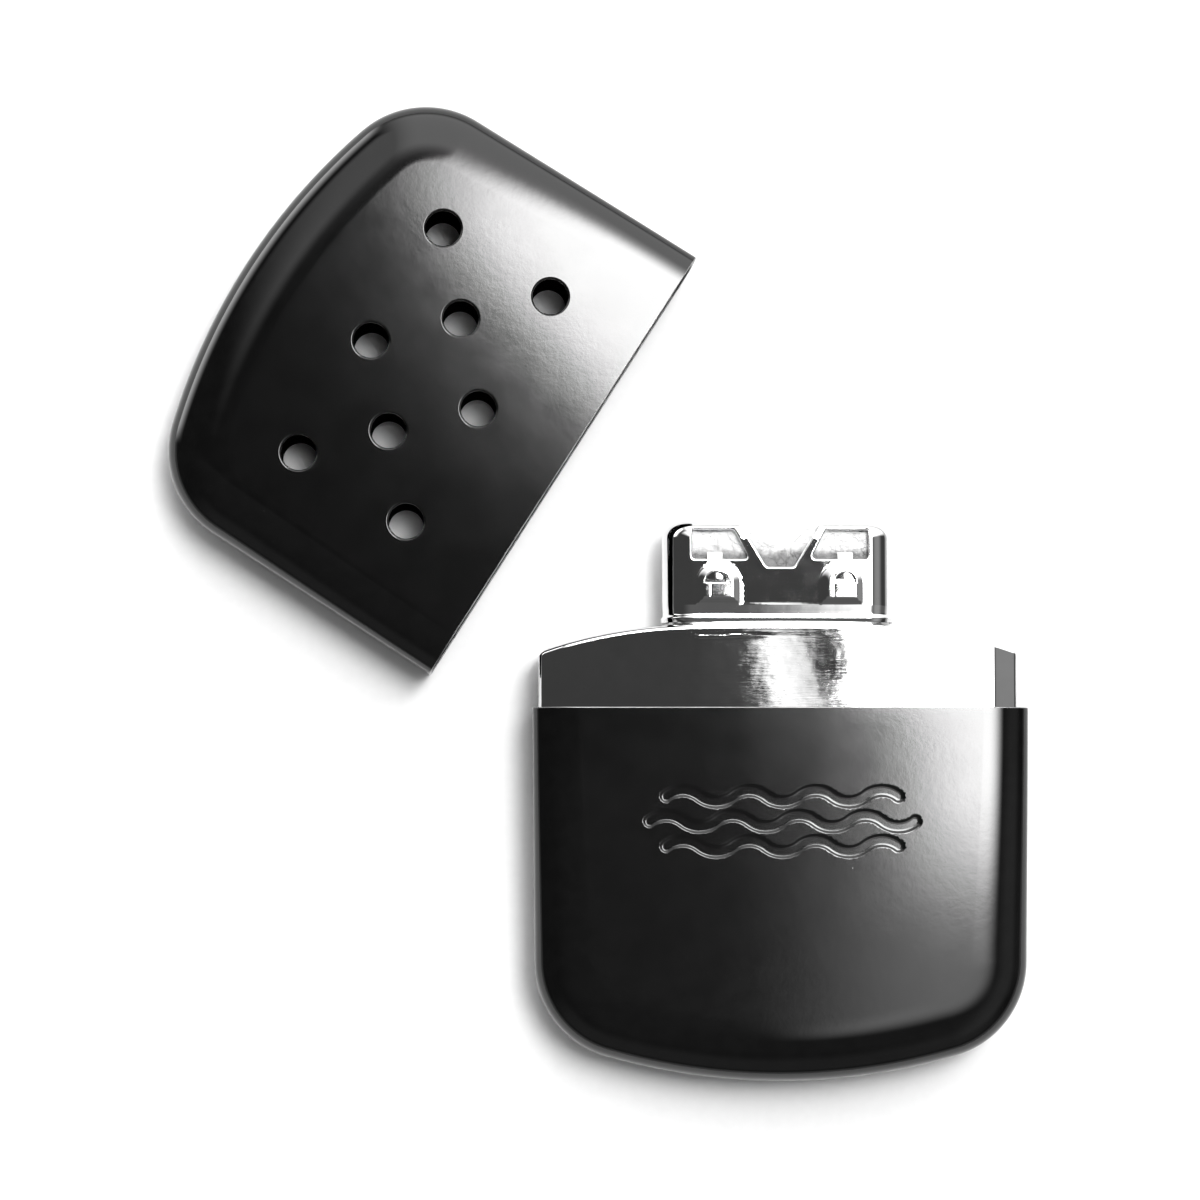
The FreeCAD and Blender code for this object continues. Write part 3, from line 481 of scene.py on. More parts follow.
def drawn_half(name, y_rim, y_end, depth, gauge, relief, relief_points, holes, place, look, lip=0.12):
    """Case or lid. relief(x, y) gives the height, below zero, and the slope of the pressed mark on the front face."""
    sh = Sheet(gauge)
    path = shell_path(y_rim, y_end, lip)
    steps = 20
    y0 = y_rim - lip
    for side in (1, -1):

        def put(x, y, z, n, base=None, nbase=None):
            if side < 0:
                z, n = depth - z, (n[0], n[1], -n[2])
                if base is not None:
                    base = (base[0], base[1], depth - base[2])
                if nbase is not None:
                    nbase = (nbase[0], nbase[1], -nbase[2])
            return sh.vert((x, y, z), n, base, nbase)

        def add(ids):
            sh.face(ids if side > 0 else list(reversed(ids)))

        rows = []
        for j, (px, py, nx, ny) in enumerate(path):
            W, D, full = edge_section(py, y_rim, y_end)
            row = []
            for k in range(steps + 1):
                t = math.pi / 2 * (k / steps)
                across, down = math.sin(t) ** (2 / full), max(math.cos(t), 0.0) ** (2 / full)
                d = W * (1 - across)
                x, y = px - nx * d, py - ny * d
                if j in (0, len(path) - 1):
                    y = y0
                z = depth - D * (1 - down)
                tilt = across ** (full - 1) / W
                m = Vector((nx * tilt, ny * tilt, down ** (full - 1) / D)).normalized()
                row.append(put(x, y, z, m))
            rows.append(row)
        for j in range(len(rows) - 1):
            for k in range(steps):
                add([rows[j][k], rows[j + 1][k], rows[j + 1][k + 1], rows[j][k + 1]])
        # the flat face inside the rounding
        ring = []
        for j, (px, py, nx, ny) in enumerate(path):
            W = edge_section(py, y_rim, y_end)[0]
            x, y = px - nx * W, py - ny * W
            if j in (0, len(path) - 1):
                y = y0
            ring.append((x, y))
        left, right = ring[-1][0], ring[0][0]
        count = 44
        line = [(left + (right - left) * i / count, y0) for i in range(1, count)]
        loop = ring + line
        loops = []
        extra = []
        bend = 0.30
        for hx, hy, hr in holes:
            seg = 56
            loops.append([(hx + hr * math.cos(2 * math.pi * i / seg), hy + hr * math.sin(2 * math.pi * i / seg)) for i in range(seg)])
            radii = [hr + bend * (1 - math.sin(math.pi / 2 * q / 5)) for q in range(4, -1, -1)] + [hr + bend + 0.25, hr + bend + 0.6, hr + bend + 1.1]
            for qi, rr in enumerate(radii):
                off = 0.5 * (qi % 2)
                extra += [(hx + rr * math.cos(2 * math.pi * (i + off) / seg), hy + rr * math.sin(2 * math.pi * (i + off) / seg)) for i in range(seg)]
        marked = relief_points if side > 0 else []
        extra += marked
        grid = 1.5
        box = (min(p[0] for p in marked) - 0.8, max(p[0] for p in marked) + 0.8, min(p[1] for p in marked) - 0.8, max(p[1] for p in marked) + 0.8) if marked else None
        for i in range(-24, 25):
            for j in range(0, 44):
                x, y = (i + 0.5 * (j % 2)) * grid, y0 - 0.9 - j * grid * 0.87
                if box and box[0] < x < box[1] and box[2] < y < box[3]:
                    continue
                if any(math.hypot(x - hx, y - hy) < hr + bend + 1.6 for hx, hy, hr in holes):
                    continue
                if inside((x, y), ring + [(left, y0)]) and min(math.hypot(x - q[0], y - q[1]) for q in ring[::2]) > 0.8:
                    extra.append((x, y))
        up = (0.0, 0.0, 1.0)
        for tri in triangulate(loop, loops, extra):
            ids = []
            for x, y in tri:
                z, n = depth, up
                base, nbase = (x, y, depth), up
                for hx, hy, hr in holes:
                    q = math.hypot(x - hx, y - hy)
                    if q < hr + bend - 1e-5:
                        s = min((hr + bend - q) / bend, 1.0)
                        z = depth - bend * (1 - math.sqrt(max(1 - s * s, 0.0)))
                        c = math.sqrt(max(1 - s * s, 0.0))
                        n = ((hx - x) / q * s, (hy - y) / q * s, c)
                if side > 0 and relief is not None:
                    h, gx, gy = relief(x, y)
                    if h < 0:
                        z, n = depth + h, (-gx, -gy, 1.0)
                ids.append(put(x, y, z, n, base, nbase))
            add(ids)
    # the upright side between the two roundings
    rows = []
    for j, (px, py, nx, ny) in enumerate(path):
        D = edge_section(py, y_rim, y_end)[1]
        x, y = px, (y0 if j in (0, len(path) - 1) else py)
        row = []
        for k in range(5):
            z = D + (depth - 2 * D) * k / 4
            row.append(sh.vert((x, y, z), (nx, ny, 0)))
        rows.append(row)
    for j in range(len(rows) - 1):
        for k in range(4):
            sh.face([rows[j][k], rows[j][k + 1], rows[j + 1][k + 1], rows[j + 1][k]])
    return sh.build(name, rim=lambda p: p[1] > y0 - 1e-3, lip=lip, place=place, look=look, edge_look=bare_edge)


def wave_lines():
    """Centre lines of the pressed waves, as dense points."""
    step, bend = 4.4, math.radians(38.0)
    rho = step / (2 * math.sin(bend))
    drop = rho * math.cos(bend)
    pts = []
    for x0, count, y0 in ((-15.4, 7, 12.9), (-17.6, 8, 9.6), (-15.4, 7, 6.3)):
        for i in range(count):
            hump = i % 2 == 0
            cx, cy = x0 + (i + 0.5) * step, (y0 - drop if hump else y0 + drop)
            for k in range(90):
                g = (math.pi / 2 + bend - 2 * bend * k / 90) if hump else (-math.pi / 2 - bend + 2 * bend * k / 90)
                pts.append((cx + rho * math.cos(g), cy + rho * math.sin(g)))
        pts.append((x0 + count * step, y0))
    return pts


def pressed_mark():
    from mathutils import kdtree

    line = wave_lines()
    tree = kdtree.KDTree(len(line))
    for i, p in enumerate(line):
        tree.insert((p[0], p[1], 0.0), i)
    tree.balance()
    flat, foot, deep = 0.52, 0.92, 0.13

    def height(x, y):
        co, _, d = tree.find((x, y, 0.0))
        if d >= foot:
            return 0.0
        k = min(max((foot - d) / (foot - flat), 0.0), 1.0)
        return -deep * k * k * (3 - 2 * k)

    def relief(x, y):
        if not (-21 < x < 21 and 3 < y < 17):
            return 0.0, 0.0, 0.0
        h = height(x, y)
        e = 0.03
        gx = (height(x + e, y) - height(x - e, y)) / (2 * e)
        gy = (height(x, y + e) - height(x, y - e)) / (2 * e)
        return (h, gx, gy) if h < 0 else (0.0, 0.0, 0.0)

    pts = []
    widths = (0.25, flat, flat + 0.08, flat + 0.16, (flat + foot) / 2, foot - 0.16, foot - 0.08, foot, foot + 0.15, foot + 0.45)
    runs = [line[i : i + 1] and i for i in range(len(line)) if i == 0 or math.dist(line[i], line[i - 1]) > 1.0] + [len(line)]
    for a, b in zip(runs, runs[1:]):
        run = line[a:b]
        for i in range(0, len(run), 4):
            p, q = run[max(i - 1, 0)], run[min(i + 1, len(run) - 1)]
            length = math.dist(p, q)
            nx, ny = -(q[1] - p[1]) / length, (q[0] - p[0]) / length
            pts.append(run[i])
            for w in widths:
                pts += [(run[i][0] + nx * w, run[i][1] + ny * w), (run[i][0] - nx * w, run[i][1] - ny * w)]
        for end, prev in ((run[0], run[1]), (run[-1], run[-2])):
            ang = math.atan2(end[1] - prev[1], end[0] - prev[0])
            for w in widths:
                count = max(4, int(w * math.pi / 0.2))
                pts += [(end[0] + w * math.cos(ang + math.pi * (k / count - 0.5)), end[1] + w * math.sin(ang + math.pi * (k / count - 0.5))) for k in range(1, count)]
    seen, out = set(), []
    for p in pts:
        key = (round(p[0] / 0.05), round(p[1] / 0.05))
        if key not in seen:
            seen.add(key)
            out.append(p)
    pts = out
    return relief, pts


relief, relief_points = pressed_mark()
case_piece = drawn_half("case_shell", 24.75, -24.75, 13.0, 0.55, relief, relief_points, [], None, enamel)
lid_holes = [(sx * x, -y, 2.35) for x, y, s in ((17.75, 13.5, 2), (0, 13.5, 1), (8.87, 21.95, 2), (17.75, 30.4, 2), (0, 30.4, 1)) for sx in ((1, -1) if s == 2 else (1,))]
lid_place = Matrix.Translation((-28.87, 57.05, 0)) @ Matrix.Rotation(math.radians(237.45), 4, "Z")
lid_piece = drawn_half("vent_lid", 0.0, -50.2, 13.0, 0.55, None, [], lid_holes, lid_place, enamel)
for piece, node, body in ((case_piece, "outer_case", "tank"), (lid_piece, "lid_shell", "lid")):
    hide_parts(node)
    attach(piece, body)


# ---------------------------------------------------------------- drawn cups: tank neck and burner
MID = 6.5


class Ring:
    """Front half of a cup's section in x and z, by arc length from the middle of the front to the side."""

    def __init__(self, corners, radii):
        pts = [Vector(p) for p in corners]
        self.parts = []
        at = pts[0]
        for i in range(1, len(pts)):
            a = (pts[i] - pts[i - 1]).normalized()
            end, r, turn = pts[i], 0.0, 0.0
            if i < len(pts) - 1:
                b = (pts[i + 1] - pts[i]).normalized()
                turn = math.acos(max(min(a.dot(b), 1), -1))
                r = radii[i - 1]
                end = pts[i] - a * r * math.tan(turn / 2)
            if (end - at).length > 1e-9:
                self.parts.append(("line", at, a, (end - at).length, 0.0))
            if r:
                self.parts.append(("arc", end, a, r * turn, r))
                at = pts[i] + b * r * math.tan(turn / 2)
        self.length = sum(p[3] for p in self.parts)

    def at(self, u):
        s, sign = abs(u), (-1 if u < 0 else 1)
        for k, (kind, p, a, length, r) in enumerate(self.parts):
            if s <= length or k == len(self.parts) - 1:
                s = min(s, length)
                n0 = Vector((-a[1], a[0]))
                if kind == "line":
                    q, n = p + a * s, n0
                else:
                    n = n0 * math.cos(s / r) + a * math.sin(s / r)
                    q = p - n0 * r + n * r
                return sign * q[0], q[1], sign * n[0], n[1]
            s -= length

    def samples(self, step):
        out, s = [0.0], 0.0
        for kind, p, a, length, r in self.parts:
            n = max(1, math.ceil(length / step) if kind == "line" else math.ceil(length / r / math.radians(5)))
            out += [s + length * i / n for i in range(1, n + 1)]
            s += length
        return [-v for v in reversed(out[1:])] + out


def two_sided(sh, side):
    def put(p, n, base=None, nbase=None):
        def flip(v, c):
            return v if side > 0 or v is None else (v[0], v[1], c - v[2])

        return sh.vert(flip(p, 2 * MID), flip(n, 0.0), flip(base, 2 * MID), flip(nbase, 0.0))

    def add(ids):
        sh.face(ids if side > 0 else list(reversed(ids)))

    return put, add


def neck_piece():
    ring = Ring([(0, 12.15), (28.8, 12.15), (32.2, 11.175), (32.2, MID)], [3.0, 1.05])
    ry, ri, peak, crown, shoulder, flat = 0.72, 1.5, 36.0, 500.0, 64.0, 12.5
    lean = math.asin(flat / crown)

    def top(x):
        if abs(x) <= flat:
            return peak - crown + math.sqrt(crown * crown - x * x)
        d = abs(x) - flat + shoulder * math.sin(lean)
        return peak - crown + (crown - shoulder) * math.cos(lean) + math.sqrt(shoulder * shoulder - d * d)

    def fall(x):
        """How steeply the crown falls away from the middle, as the x part of its upward direction."""
        if abs(x) <= flat:
            return x / crown
        return math.copysign((abs(x) - flat + shoulder * math.sin(lean)) / shoulder, x)

    def smooth(v):
        v = min(max(v, 0.0), 1.0)
        return v * v * (3 - 2 * v)

    def askew(x):
        """The neck was pressed a little narrower on its right side."""
        return 0.55 * smooth((x - 14.0) / 16.0)

    sh = Sheet(0.5)
    us = ring.samples(0.55)
    for side in (1, -1):
        put, add = two_sided(sh, side)
        rows = []
        for u in us:
            x, z, nx, nz = ring.at(u)
            x -= askew(x)
            e = top(x) - ry
            ys = [13.2, 24.3] + [24.9 + (e - 2.4 - 24.9) * i / 7 for i in range(8)] + [e - 2.4 + 2.4 * i / 20 for i in range(1, 21)]
            row = []
            for y in ys:
                d = e - y
                wander = noise.noise(Vector((x * 0.35, side * 3.0, 1.7)))
                c, w = 0.1 + 0.95 * smooth((x + 13.4) / 2.6) + 0.12 * wander, 0.30
                amp = 0.0046 * smooth((x + 13.8) / 0.9) * (1 - 0.85 * smooth((x + 5.0) / 5.0)) * (1 - smooth((x - 8.0) / 6.0)) * nz
                g = amp * math.exp(-(((d - c) / w) ** 2))
                slope = -2 * (d - c) / w**2 * g
                row.append(put((x + nx * g, y, z + nz * g), (nx, slope, nz)))
            for k in range(1, 11):
                t = math.pi / 2 * k / 10
                xi, zi = x - nx * ri * (1 - math.cos(t)), z - nz * ri * (1 - math.cos(t))
                up = Vector((fall(xi), 1, 0)).normalized()
                m = Vector((nx, 0, nz)) * math.cos(t) / ri + up * math.sin(t) / ry
                row.append(put((xi, top(xi) - ry * (1 - math.sin(t)), zi), m))
            rows.append(row)
        for j in range(len(rows) - 1):
            for k in range(len(rows[0]) - 1):
                add([rows[j][k], rows[j + 1][k], rows[j + 1][k + 1], rows[j][k + 1]])
    front = []
    for u in us:
        x, z, nx, nz = ring.at(u)
        x -= askew(x)
        front.append((x - nx * ri, z - nz * ri))
    back = [(x, 2 * MID - z) for x, z in reversed(front)]
    loop = back[:-1] + front[:-1]
    mouth = []
    half, r = 29.6 / 2 - 3.2, 3.2
    for cx, a0 in ((half, -90), (-half, 90)):
        mouth += [(cx + r * math.cos(math.radians(a0 + 6 * i)), MID + r * math.sin(math.radians(a0 + 6 * i))) for i in range(31)]
    extra = [(-28 + 1.4 * i, z) for i in range(41) for z in (3.0, MID, 10.0) if abs(-28 + 1.4 * i) > 15.6 or z != MID]
    for tri in triangulate(loop, [mouth], extra):
        sh.face(list(reversed([sh.vert((x, top(x), z), (fall(x), 1, 0)) for x, z in tri])))
    return sh.build("tank_neck", look=chrome_neck)


def burner_piece():
    ring = Ring([(0, 10.5), (15.6, 10.5), (15.6, MID)], [4.0])
    low, high, r = 36.14, 49.85, 2.5
    v1 = high - r
    v2 = v1 + r * math.pi / 2
    v_end = v2 + 4.0 - r

    def y_to_v(y):
        return y if y <= v1 else v1 + r * math.asin(min((y - v1) / r, 1.0))

    def v_to_y(v):
        return v if v <= v1 else (v1 + r * math.sin((v - v1) / r) if v < v2 else high)

    def foot(y):
        """How far the rolled foot stands out, and its slope."""
        if y >= 38.5:
            return 0.0, 0.0
        k = min((38.5 - y) / 1.25, 1.0)
        off, slope = -0.085 * k * k * (3 - 2 * k), 0.085 * 6 * k * (1 - k) / 1.25
        k = min(max((37.2 - y) / 0.5, 0.0), 1.0)
        off, slope = off + 0.3 * k * k * (3 - 2 * k), slope - 0.3 * 6 * k * (1 - k) / 0.5
        d = max(36.76 - y, 0.0)
        if d < 0.15:
            return off - 0.83 * d * d, slope + 1.66 * d
        return off - 0.83 * 0.15 * 0.15 - 0.25 * (d - 0.15), slope + 0.25

    def arch(u, v):
        best = 0.0
        for cx in (-8.2, 8.2):
            du, dv = u - cx, v - 41.2
            inner = 3.0 - math.hypot(du, max(dv, 0.0)) if dv > 0 else min(3.0 - abs(du), v - 38.35)
            if inner > 0:
                k = min(inner / 1.25, 1.0)
                h = 0.3 * k * k * (3 - 2 * k)
                h += k * (-0.0008 * (du + 0.4) ** 2 + 0.004 * noise.noise(Vector((u * 0.6, v * 0.9, cx))) - 0.006 * math.exp(-(((du + 1.05) / 0.14) ** 2)))
                best = max(best, h)
        return best

    def frame_at(u, v):
        x, z, nx, nz = ring.at(u)
        n = Vector((nx, 0, nz))
        along = Vector((nz, 0, -nx)) if u >= 0 else Vector((nz, 0, -nx))
        if v <= v1:
            off, slope = foot(v)
            p = Vector((x, v, z)) + n * off
            up = Vector((0, 1, 0))
            return p, (n - up * slope).normalized(), along, up
        t = min((v - v1) / r, math.pi / 2)
        inset = r * (1 - math.cos(t)) + max(v - v2, 0.0)
        p = Vector((x, v_to_y(v), z)) - n * inset
        return p, n * math.cos(t) + Vector((0, 1, 0)) * math.sin(t), along, Vector((0, 1, 0)) * math.cos(t) - n * math.sin(t)

    # outlines in the unrolled plane, each with the side the metal is on
    def softened(pts, radii, close=True):
        out = []
        m = len(pts)
        for i in range(m):
            p = Vector(pts[i])
            rr = radii[i]
            if rr <= 0:
                out.append(tuple(p))
                continue
            a = (p - Vector(pts[i - 1])).normalized()
            b = (Vector(pts[(i + 1) % m]) - p).normalized()
            turn = math.acos(max(min(a.dot(b), 1), -1))
            tl = rr * math.tan(turn / 2)
            s0, s1 = p - a * tl, p + b * tl
            for k in range(7):
                f = k / 6
                q = s0 * (1 - f) ** 2 + p * 2 * f * (1 - f) + s1 * f * f
                out.append(tuple(q))
        return out

    def dense(pts, step, close=True):
        out = []
        m = len(pts)
        for i in range(m if close else m - 1):
            p, q = Vector(pts[i]), Vector(pts[(i + 1) % m])
            k = max(1, math.ceil((q - p).length / step))
            out += [tuple(p.lerp(q, j / k)) for j in range(k)]
        if not close:
            out.append(tuple(pts[-1]))
        return out

    holes = []
    for sgn in (-1, 1):
        w = [(sgn * 11.75, 44.6), (sgn * 4.15, 44.6), (sgn * 6.2, 48.65), (sgn * 11.75, 48.65)]
        if sgn > 0:
            w.reverse()
            radii = [0.35, 0.35, 0.5, 0.5]
        else:
            radii = [0.5, 0.5, 0.35, 0.35]
        w = [(x, y_to_v(y)) for x, y in w]
        holes.append((dense(softened(w, radii), 0.3), 0.28))
        cx, cy = sgn * 8.7, 41.45
        disc = [(cx + 1.35 * math.cos(math.pi * k / 16), cy + 1.35 * math.sin(math.pi * k / 16)) for k in range(17)]
        holes.append((dense(disc, 0.25), 0.2))
    half = [(1.8 + (y - 43.55) / 6.3 * 3.8, y) for y in [43.55 + 6.3 * k / 24 for k in range(25)]]
    right = [(x, y_to_v(y)) for x, y in half]
    corner = softened([right[3], right[0], (0.0, right[0][1])], [0, 0.7, 0])
    right = [(5.6, v_end)] + list(reversed(right[3:])) + corner[1:-1]
    right = dense([right[0]] + right[1:] + [(0.0, 43.55)], 0.3, close=False)
    notch = right + [(-x, v) for x, v in reversed(right[:-1])]
    U = ring.length
    outer = dense([(-U, v_end), (-U, low), (U, low), (U, v_end), (5.6, v_end)], 0.35, close=False)[:-1] + notch
    outer = outer + dense([(-5.6, v_end), (-U, v_end)], 0.35, close=False)[1:-1]
    edges = [(np.array(h), b) for h, b in holes] + [(np.array(notch), 0.28)]

    def nearest(u, v):
        """Distance to the nearest cut edge inside its rounding, the direction to it and the rounding's radius."""
        best = None
        for pts, b in edges:
            if u < pts[:, 0].min() - b or u > pts[:, 0].max() + b or v < pts[:, 1].min() - b or v > pts[:, 1].max() + b:
                continue
            p = pts
            q = np.roll(pts, -1, axis=0) if pts is not edges[-1][0] else np.vstack([pts[1:], pts[-1:]])
            d = q - p
            ll = np.maximum((d**2).sum(1), 1e-12)
            t = np.clip(((np.array((u, v)) - p) * d).sum(1) / ll, 0, 1)
            c = p + d * t[:, None]
            e = c - np.array((u, v))
            dist = np.hypot(e[:, 0], e[:, 1])
            i = int(dist.argmin())
            if dist[i] < b and (best is None or dist[i] / b < best[0] / best[3]):
                best = (float(dist[i]), e[i, 0], e[i, 1], b, pts, i)
        return best

    def away(pts, i, close=True):
        """Direction from the cut edge into the metal at point i of an outline."""
        m = len(pts)
        a = pts[(i + 1) % m] if close or i < m - 1 else pts[i]
        b = pts[i - 1] if close or i > 0 else pts[i]
        d = np.array(a) - np.array(b)
        d = d / max(np.hypot(*d), 1e-9)
        return np.array((d[1], -d[0]))

    points = []
    for (pts, b), close in [(h, True) for h in holes] + [((notch, 0.28), False)]:
        area = sum(pts[i - 1][0] * pts[i][1] - pts[i][0] * pts[i - 1][1] for i in range(len(pts)))
        flip = 1.0 if (area > 0) or not close else -1.0
        if not close:
            flip = -1.0 if away(pts, 2, False)[0] < 0 else 1.0
        for f in (0.12, 0.3, 0.5, 0.75, 1.0, 1.6):
            for i in range(0 if close else 1, len(pts) if close else len(pts) - 1):
                d = away(pts, i, close) * flip
                points.append((pts[i][0] + d[0] * b * f, pts[i][1] + d[1] * b * f))

    def blocked(u, v, gap):
        if abs(u) > U - 0.1 or v < low + 0.08 or v > v_end - 0.1:
            return True
        for pts, b in edges:
            if u < pts[:, 0].min() - gap or u > pts[:, 0].max() + gap or v < pts[:, 1].min() - gap or v > pts[:, 1].max() + gap:
                continue
            if np.hypot(pts[:, 0] - u, pts[:, 1] - v).min() < gap:
                return True
        return False

    points = [p for p in points if inside(p, outer) and not any(inside(p, h) for h, _ in holes)]
    step = 0.42
    for i in range(-44, 45):
        for j in range(0, 48):
            u, v = (i + 0.5 * (j % 2)) * step, low + 0.2 + j * step * 0.85
            if arch(u, v) > 0 or v < 37.85 or blocked(u, v, 0.5):
                continue
            points.append((u, v))
    step = 0.2
    for i in range(-58, 59):
        for j in range(0, 38):
            u, v = (i + 0.5 * (j % 2)) * step, 38.2 + j * step * 0.87
            if arch(u, v) > 0 and not blocked(u, v, 0.36):
                points.append((u, v))
    for v in (36.2, 36.28, 36.37, 36.44, 36.51, 36.58, 36.65, 36.72, 36.79, 36.86, 36.95, 37.05, 37.15, 37.25, 37.35, 37.5, 37.7):
        points += [(-U + 0.3 + 0.42 * i, v) for i in range(int((2 * U - 0.6) / 0.42))]
    flat_holes = [h for h, _ in holes]
    sh = Sheet(0.4)
    tris = triangulate(outer, flat_holes, points)
    known = {}

    def shape(u, v):
        key = (u, v)
        if key in known:
            return known[key]
        p, n, along, up = frame_at(u, v)
        h = arch(u, v)
        base, nbase = tuple(p + n * h * 0.7), tuple(n)
        if h > 0:
            e = 0.04
            hu = (arch(u + e, v) - arch(u - e, v)) / (2 * e)
            hv = (arch(u, v + e) - arch(u, v - e)) / (2 * e)
            p = p + n * h
            n = (n - along * hu - up * hv).normalized()
            base = tuple(p)
        near = nearest(u, v)
        if near:
            dist, du, dv, b, pts, i = near
            k = min(max(1 - dist / b, 0.0), 1.0)
            if dist > 1e-4:
                towards = (along * du + up * dv) / dist
            else:
                d = -away([tuple(q) for q in pts], i, pts is not edges[-1][0])
                towards = along * float(d[0]) + up * float(d[1])
                if pts is not edges[-1][0]:
                    c = pts.mean(0)
                    if (c[0] - u) * d[0] + (c[1] - v) * d[1] < 0:
                        towards = -towards
                elif d[1] < 0:
                    towards = -towards
            c = math.sqrt(max(1 - k * k, 0.0))
            p = p - n * b * (1 - c)
            n = (n * c + towards * k).normalized()
        known[key] = (tuple(p), tuple(n), base, nbase)
        return known[key]

    for side in (1, -1):
        put, add = two_sided(sh, side)
        for tri in tris:
            add([put(*shape(u, v)) for u, v in tri])
    return sh.build("burner_cup", look=chrome_burner)


def tray_piece():
    """Thin plate with vapour holes, and four tabs bent up from it whose tips lean in over the mat."""
    sh = Sheet(0.4)
    half, r = 15.15 - 3.55, 3.55
    loop = []
    for cx, a0 in ((half, -90), (-half, 90)):
        loop += [(cx + r * math.cos(math.radians(a0 + 7.5 * i)), MID + r * math.sin(math.radians(a0 + 7.5 * i))) for i in range(25)]
    holes = [[(3.6 * k + 0.9 * math.cos(math.radians(15 * i)), MID + 0.9 * math.sin(math.radians(15 * i))) for i in range(24)] for k in range(-3, 4)]
    extra = [(-11 + 1.1 * i, z) for i in range(21) for z in (4.4, 8.6)]
    for tri in triangulate(loop, holes, extra):
        sh.face(list(reversed([sh.vert((x, 41.9, z), (0, 1, 0)) for x, z in tri])))
    tray = sh.build("tray_plate", look=tray_steel)
    strips = []
    for side in (1, -1):
        for cx in (-8.7, 8.7):
            tab = Sheet(0.3)
            put, add = two_sided(tab, side)
            rows = []
            path = [(41.92, 10.04), (42.6, 10.05), (43.3, 10.05), (44.0, 10.05), (44.3, 10.04), (44.55, 9.99), (44.8, 9.9), (45.05, 9.79), (45.3, 9.66), (45.5, 9.54)]
            for i, (y, z) in enumerate(path):
                ya, za = path[max(i - 1, 0)]
                yb, zb = path[min(i + 1, len(path) - 1)]
                m = Vector((0, -(zb - za), yb - ya)).normalized()
                row = []
                for k in range(9):
                    f = k / 4 - 1
                    lift = 0.02 * (1 - f * f)
                    row.append(put((cx + f, y, z - 0.02 + lift), (m[0] + 0.04 * f, m[1], m[2])))
                rows.append(row)
            for i in range(len(rows) - 1):
                for k in range(8):
                    add([rows[i][k], rows[i][k + 1], rows[i + 1][k + 1], rows[i + 1][k]])
            strips.append(tab.build("tray_tab", look=tray_steel))
    return join([tray] + strips, "vapour_tray")


def join(objects, name):
    """One object from several, each left as its own closed shell."""
    bm = bmesh.new()
    for o in objects:
        bm.from_mesh(o.data)
    me = bpy.data.meshes.new(name)
    bm.to_mesh(me)
    bm.free()
    me.materials.append(objects[0].data.materials[0])
    for o in objects:
        data = o.data
        bpy.data.objects.remove(o)
        bpy.data.meshes.remove(data)
    out = bpy.data.objects.new(name, me)
    SCENE.collection.objects.link(out)
    return out


neck = neck_piece()
burner = burner_piece()
plate = tray_piece()
for piece, node, body, slot in ((neck, "tank_top", "tank", "neck_chrome"), (burner, "burner_housing", "burner", "burner_chrome"), (plate, "catalyst_tray", "burner", "tray_steel")):
    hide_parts(node)
    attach(piece, body)


# ---------------------------------------------------------------- soft pieces
def rng(seed):
    return np.random.default_rng(seed)


def remeshed(node, voxel, name):
    """A fine even skin over a soft CAD piece, as vertex and face lists in millimetres."""
    src = NODES[node]
    o = bpy.data.objects.new(name + "_tmp", src.data.copy())
    o.matrix_world = src.matrix_world.copy()
    SCENE.collection.objects.link(o)
    m = o.modifiers.new("remesh", "REMESH")
    m.mode = "VOXEL"
    m.voxel_size = voxel * MM
    bpy.context.view_layer.update()
    ev = o.evaluated_get(bpy.context.evaluated_depsgraph_get())
    me = ev.to_mesh()
    verts = [ev.matrix_world @ v.co / MM for v in me.vertices]
    normals = [(ev.matrix_world.to_3x3() @ v.normal).normalized() for v in me.vertices]
    faces = [tuple(p.vertices) for p in me.polygons]
    ev.to_mesh_clear()
    old = o.data
    bpy.data.objects.remove(o)
    bpy.data.meshes.remove(old)
    return verts, normals, faces


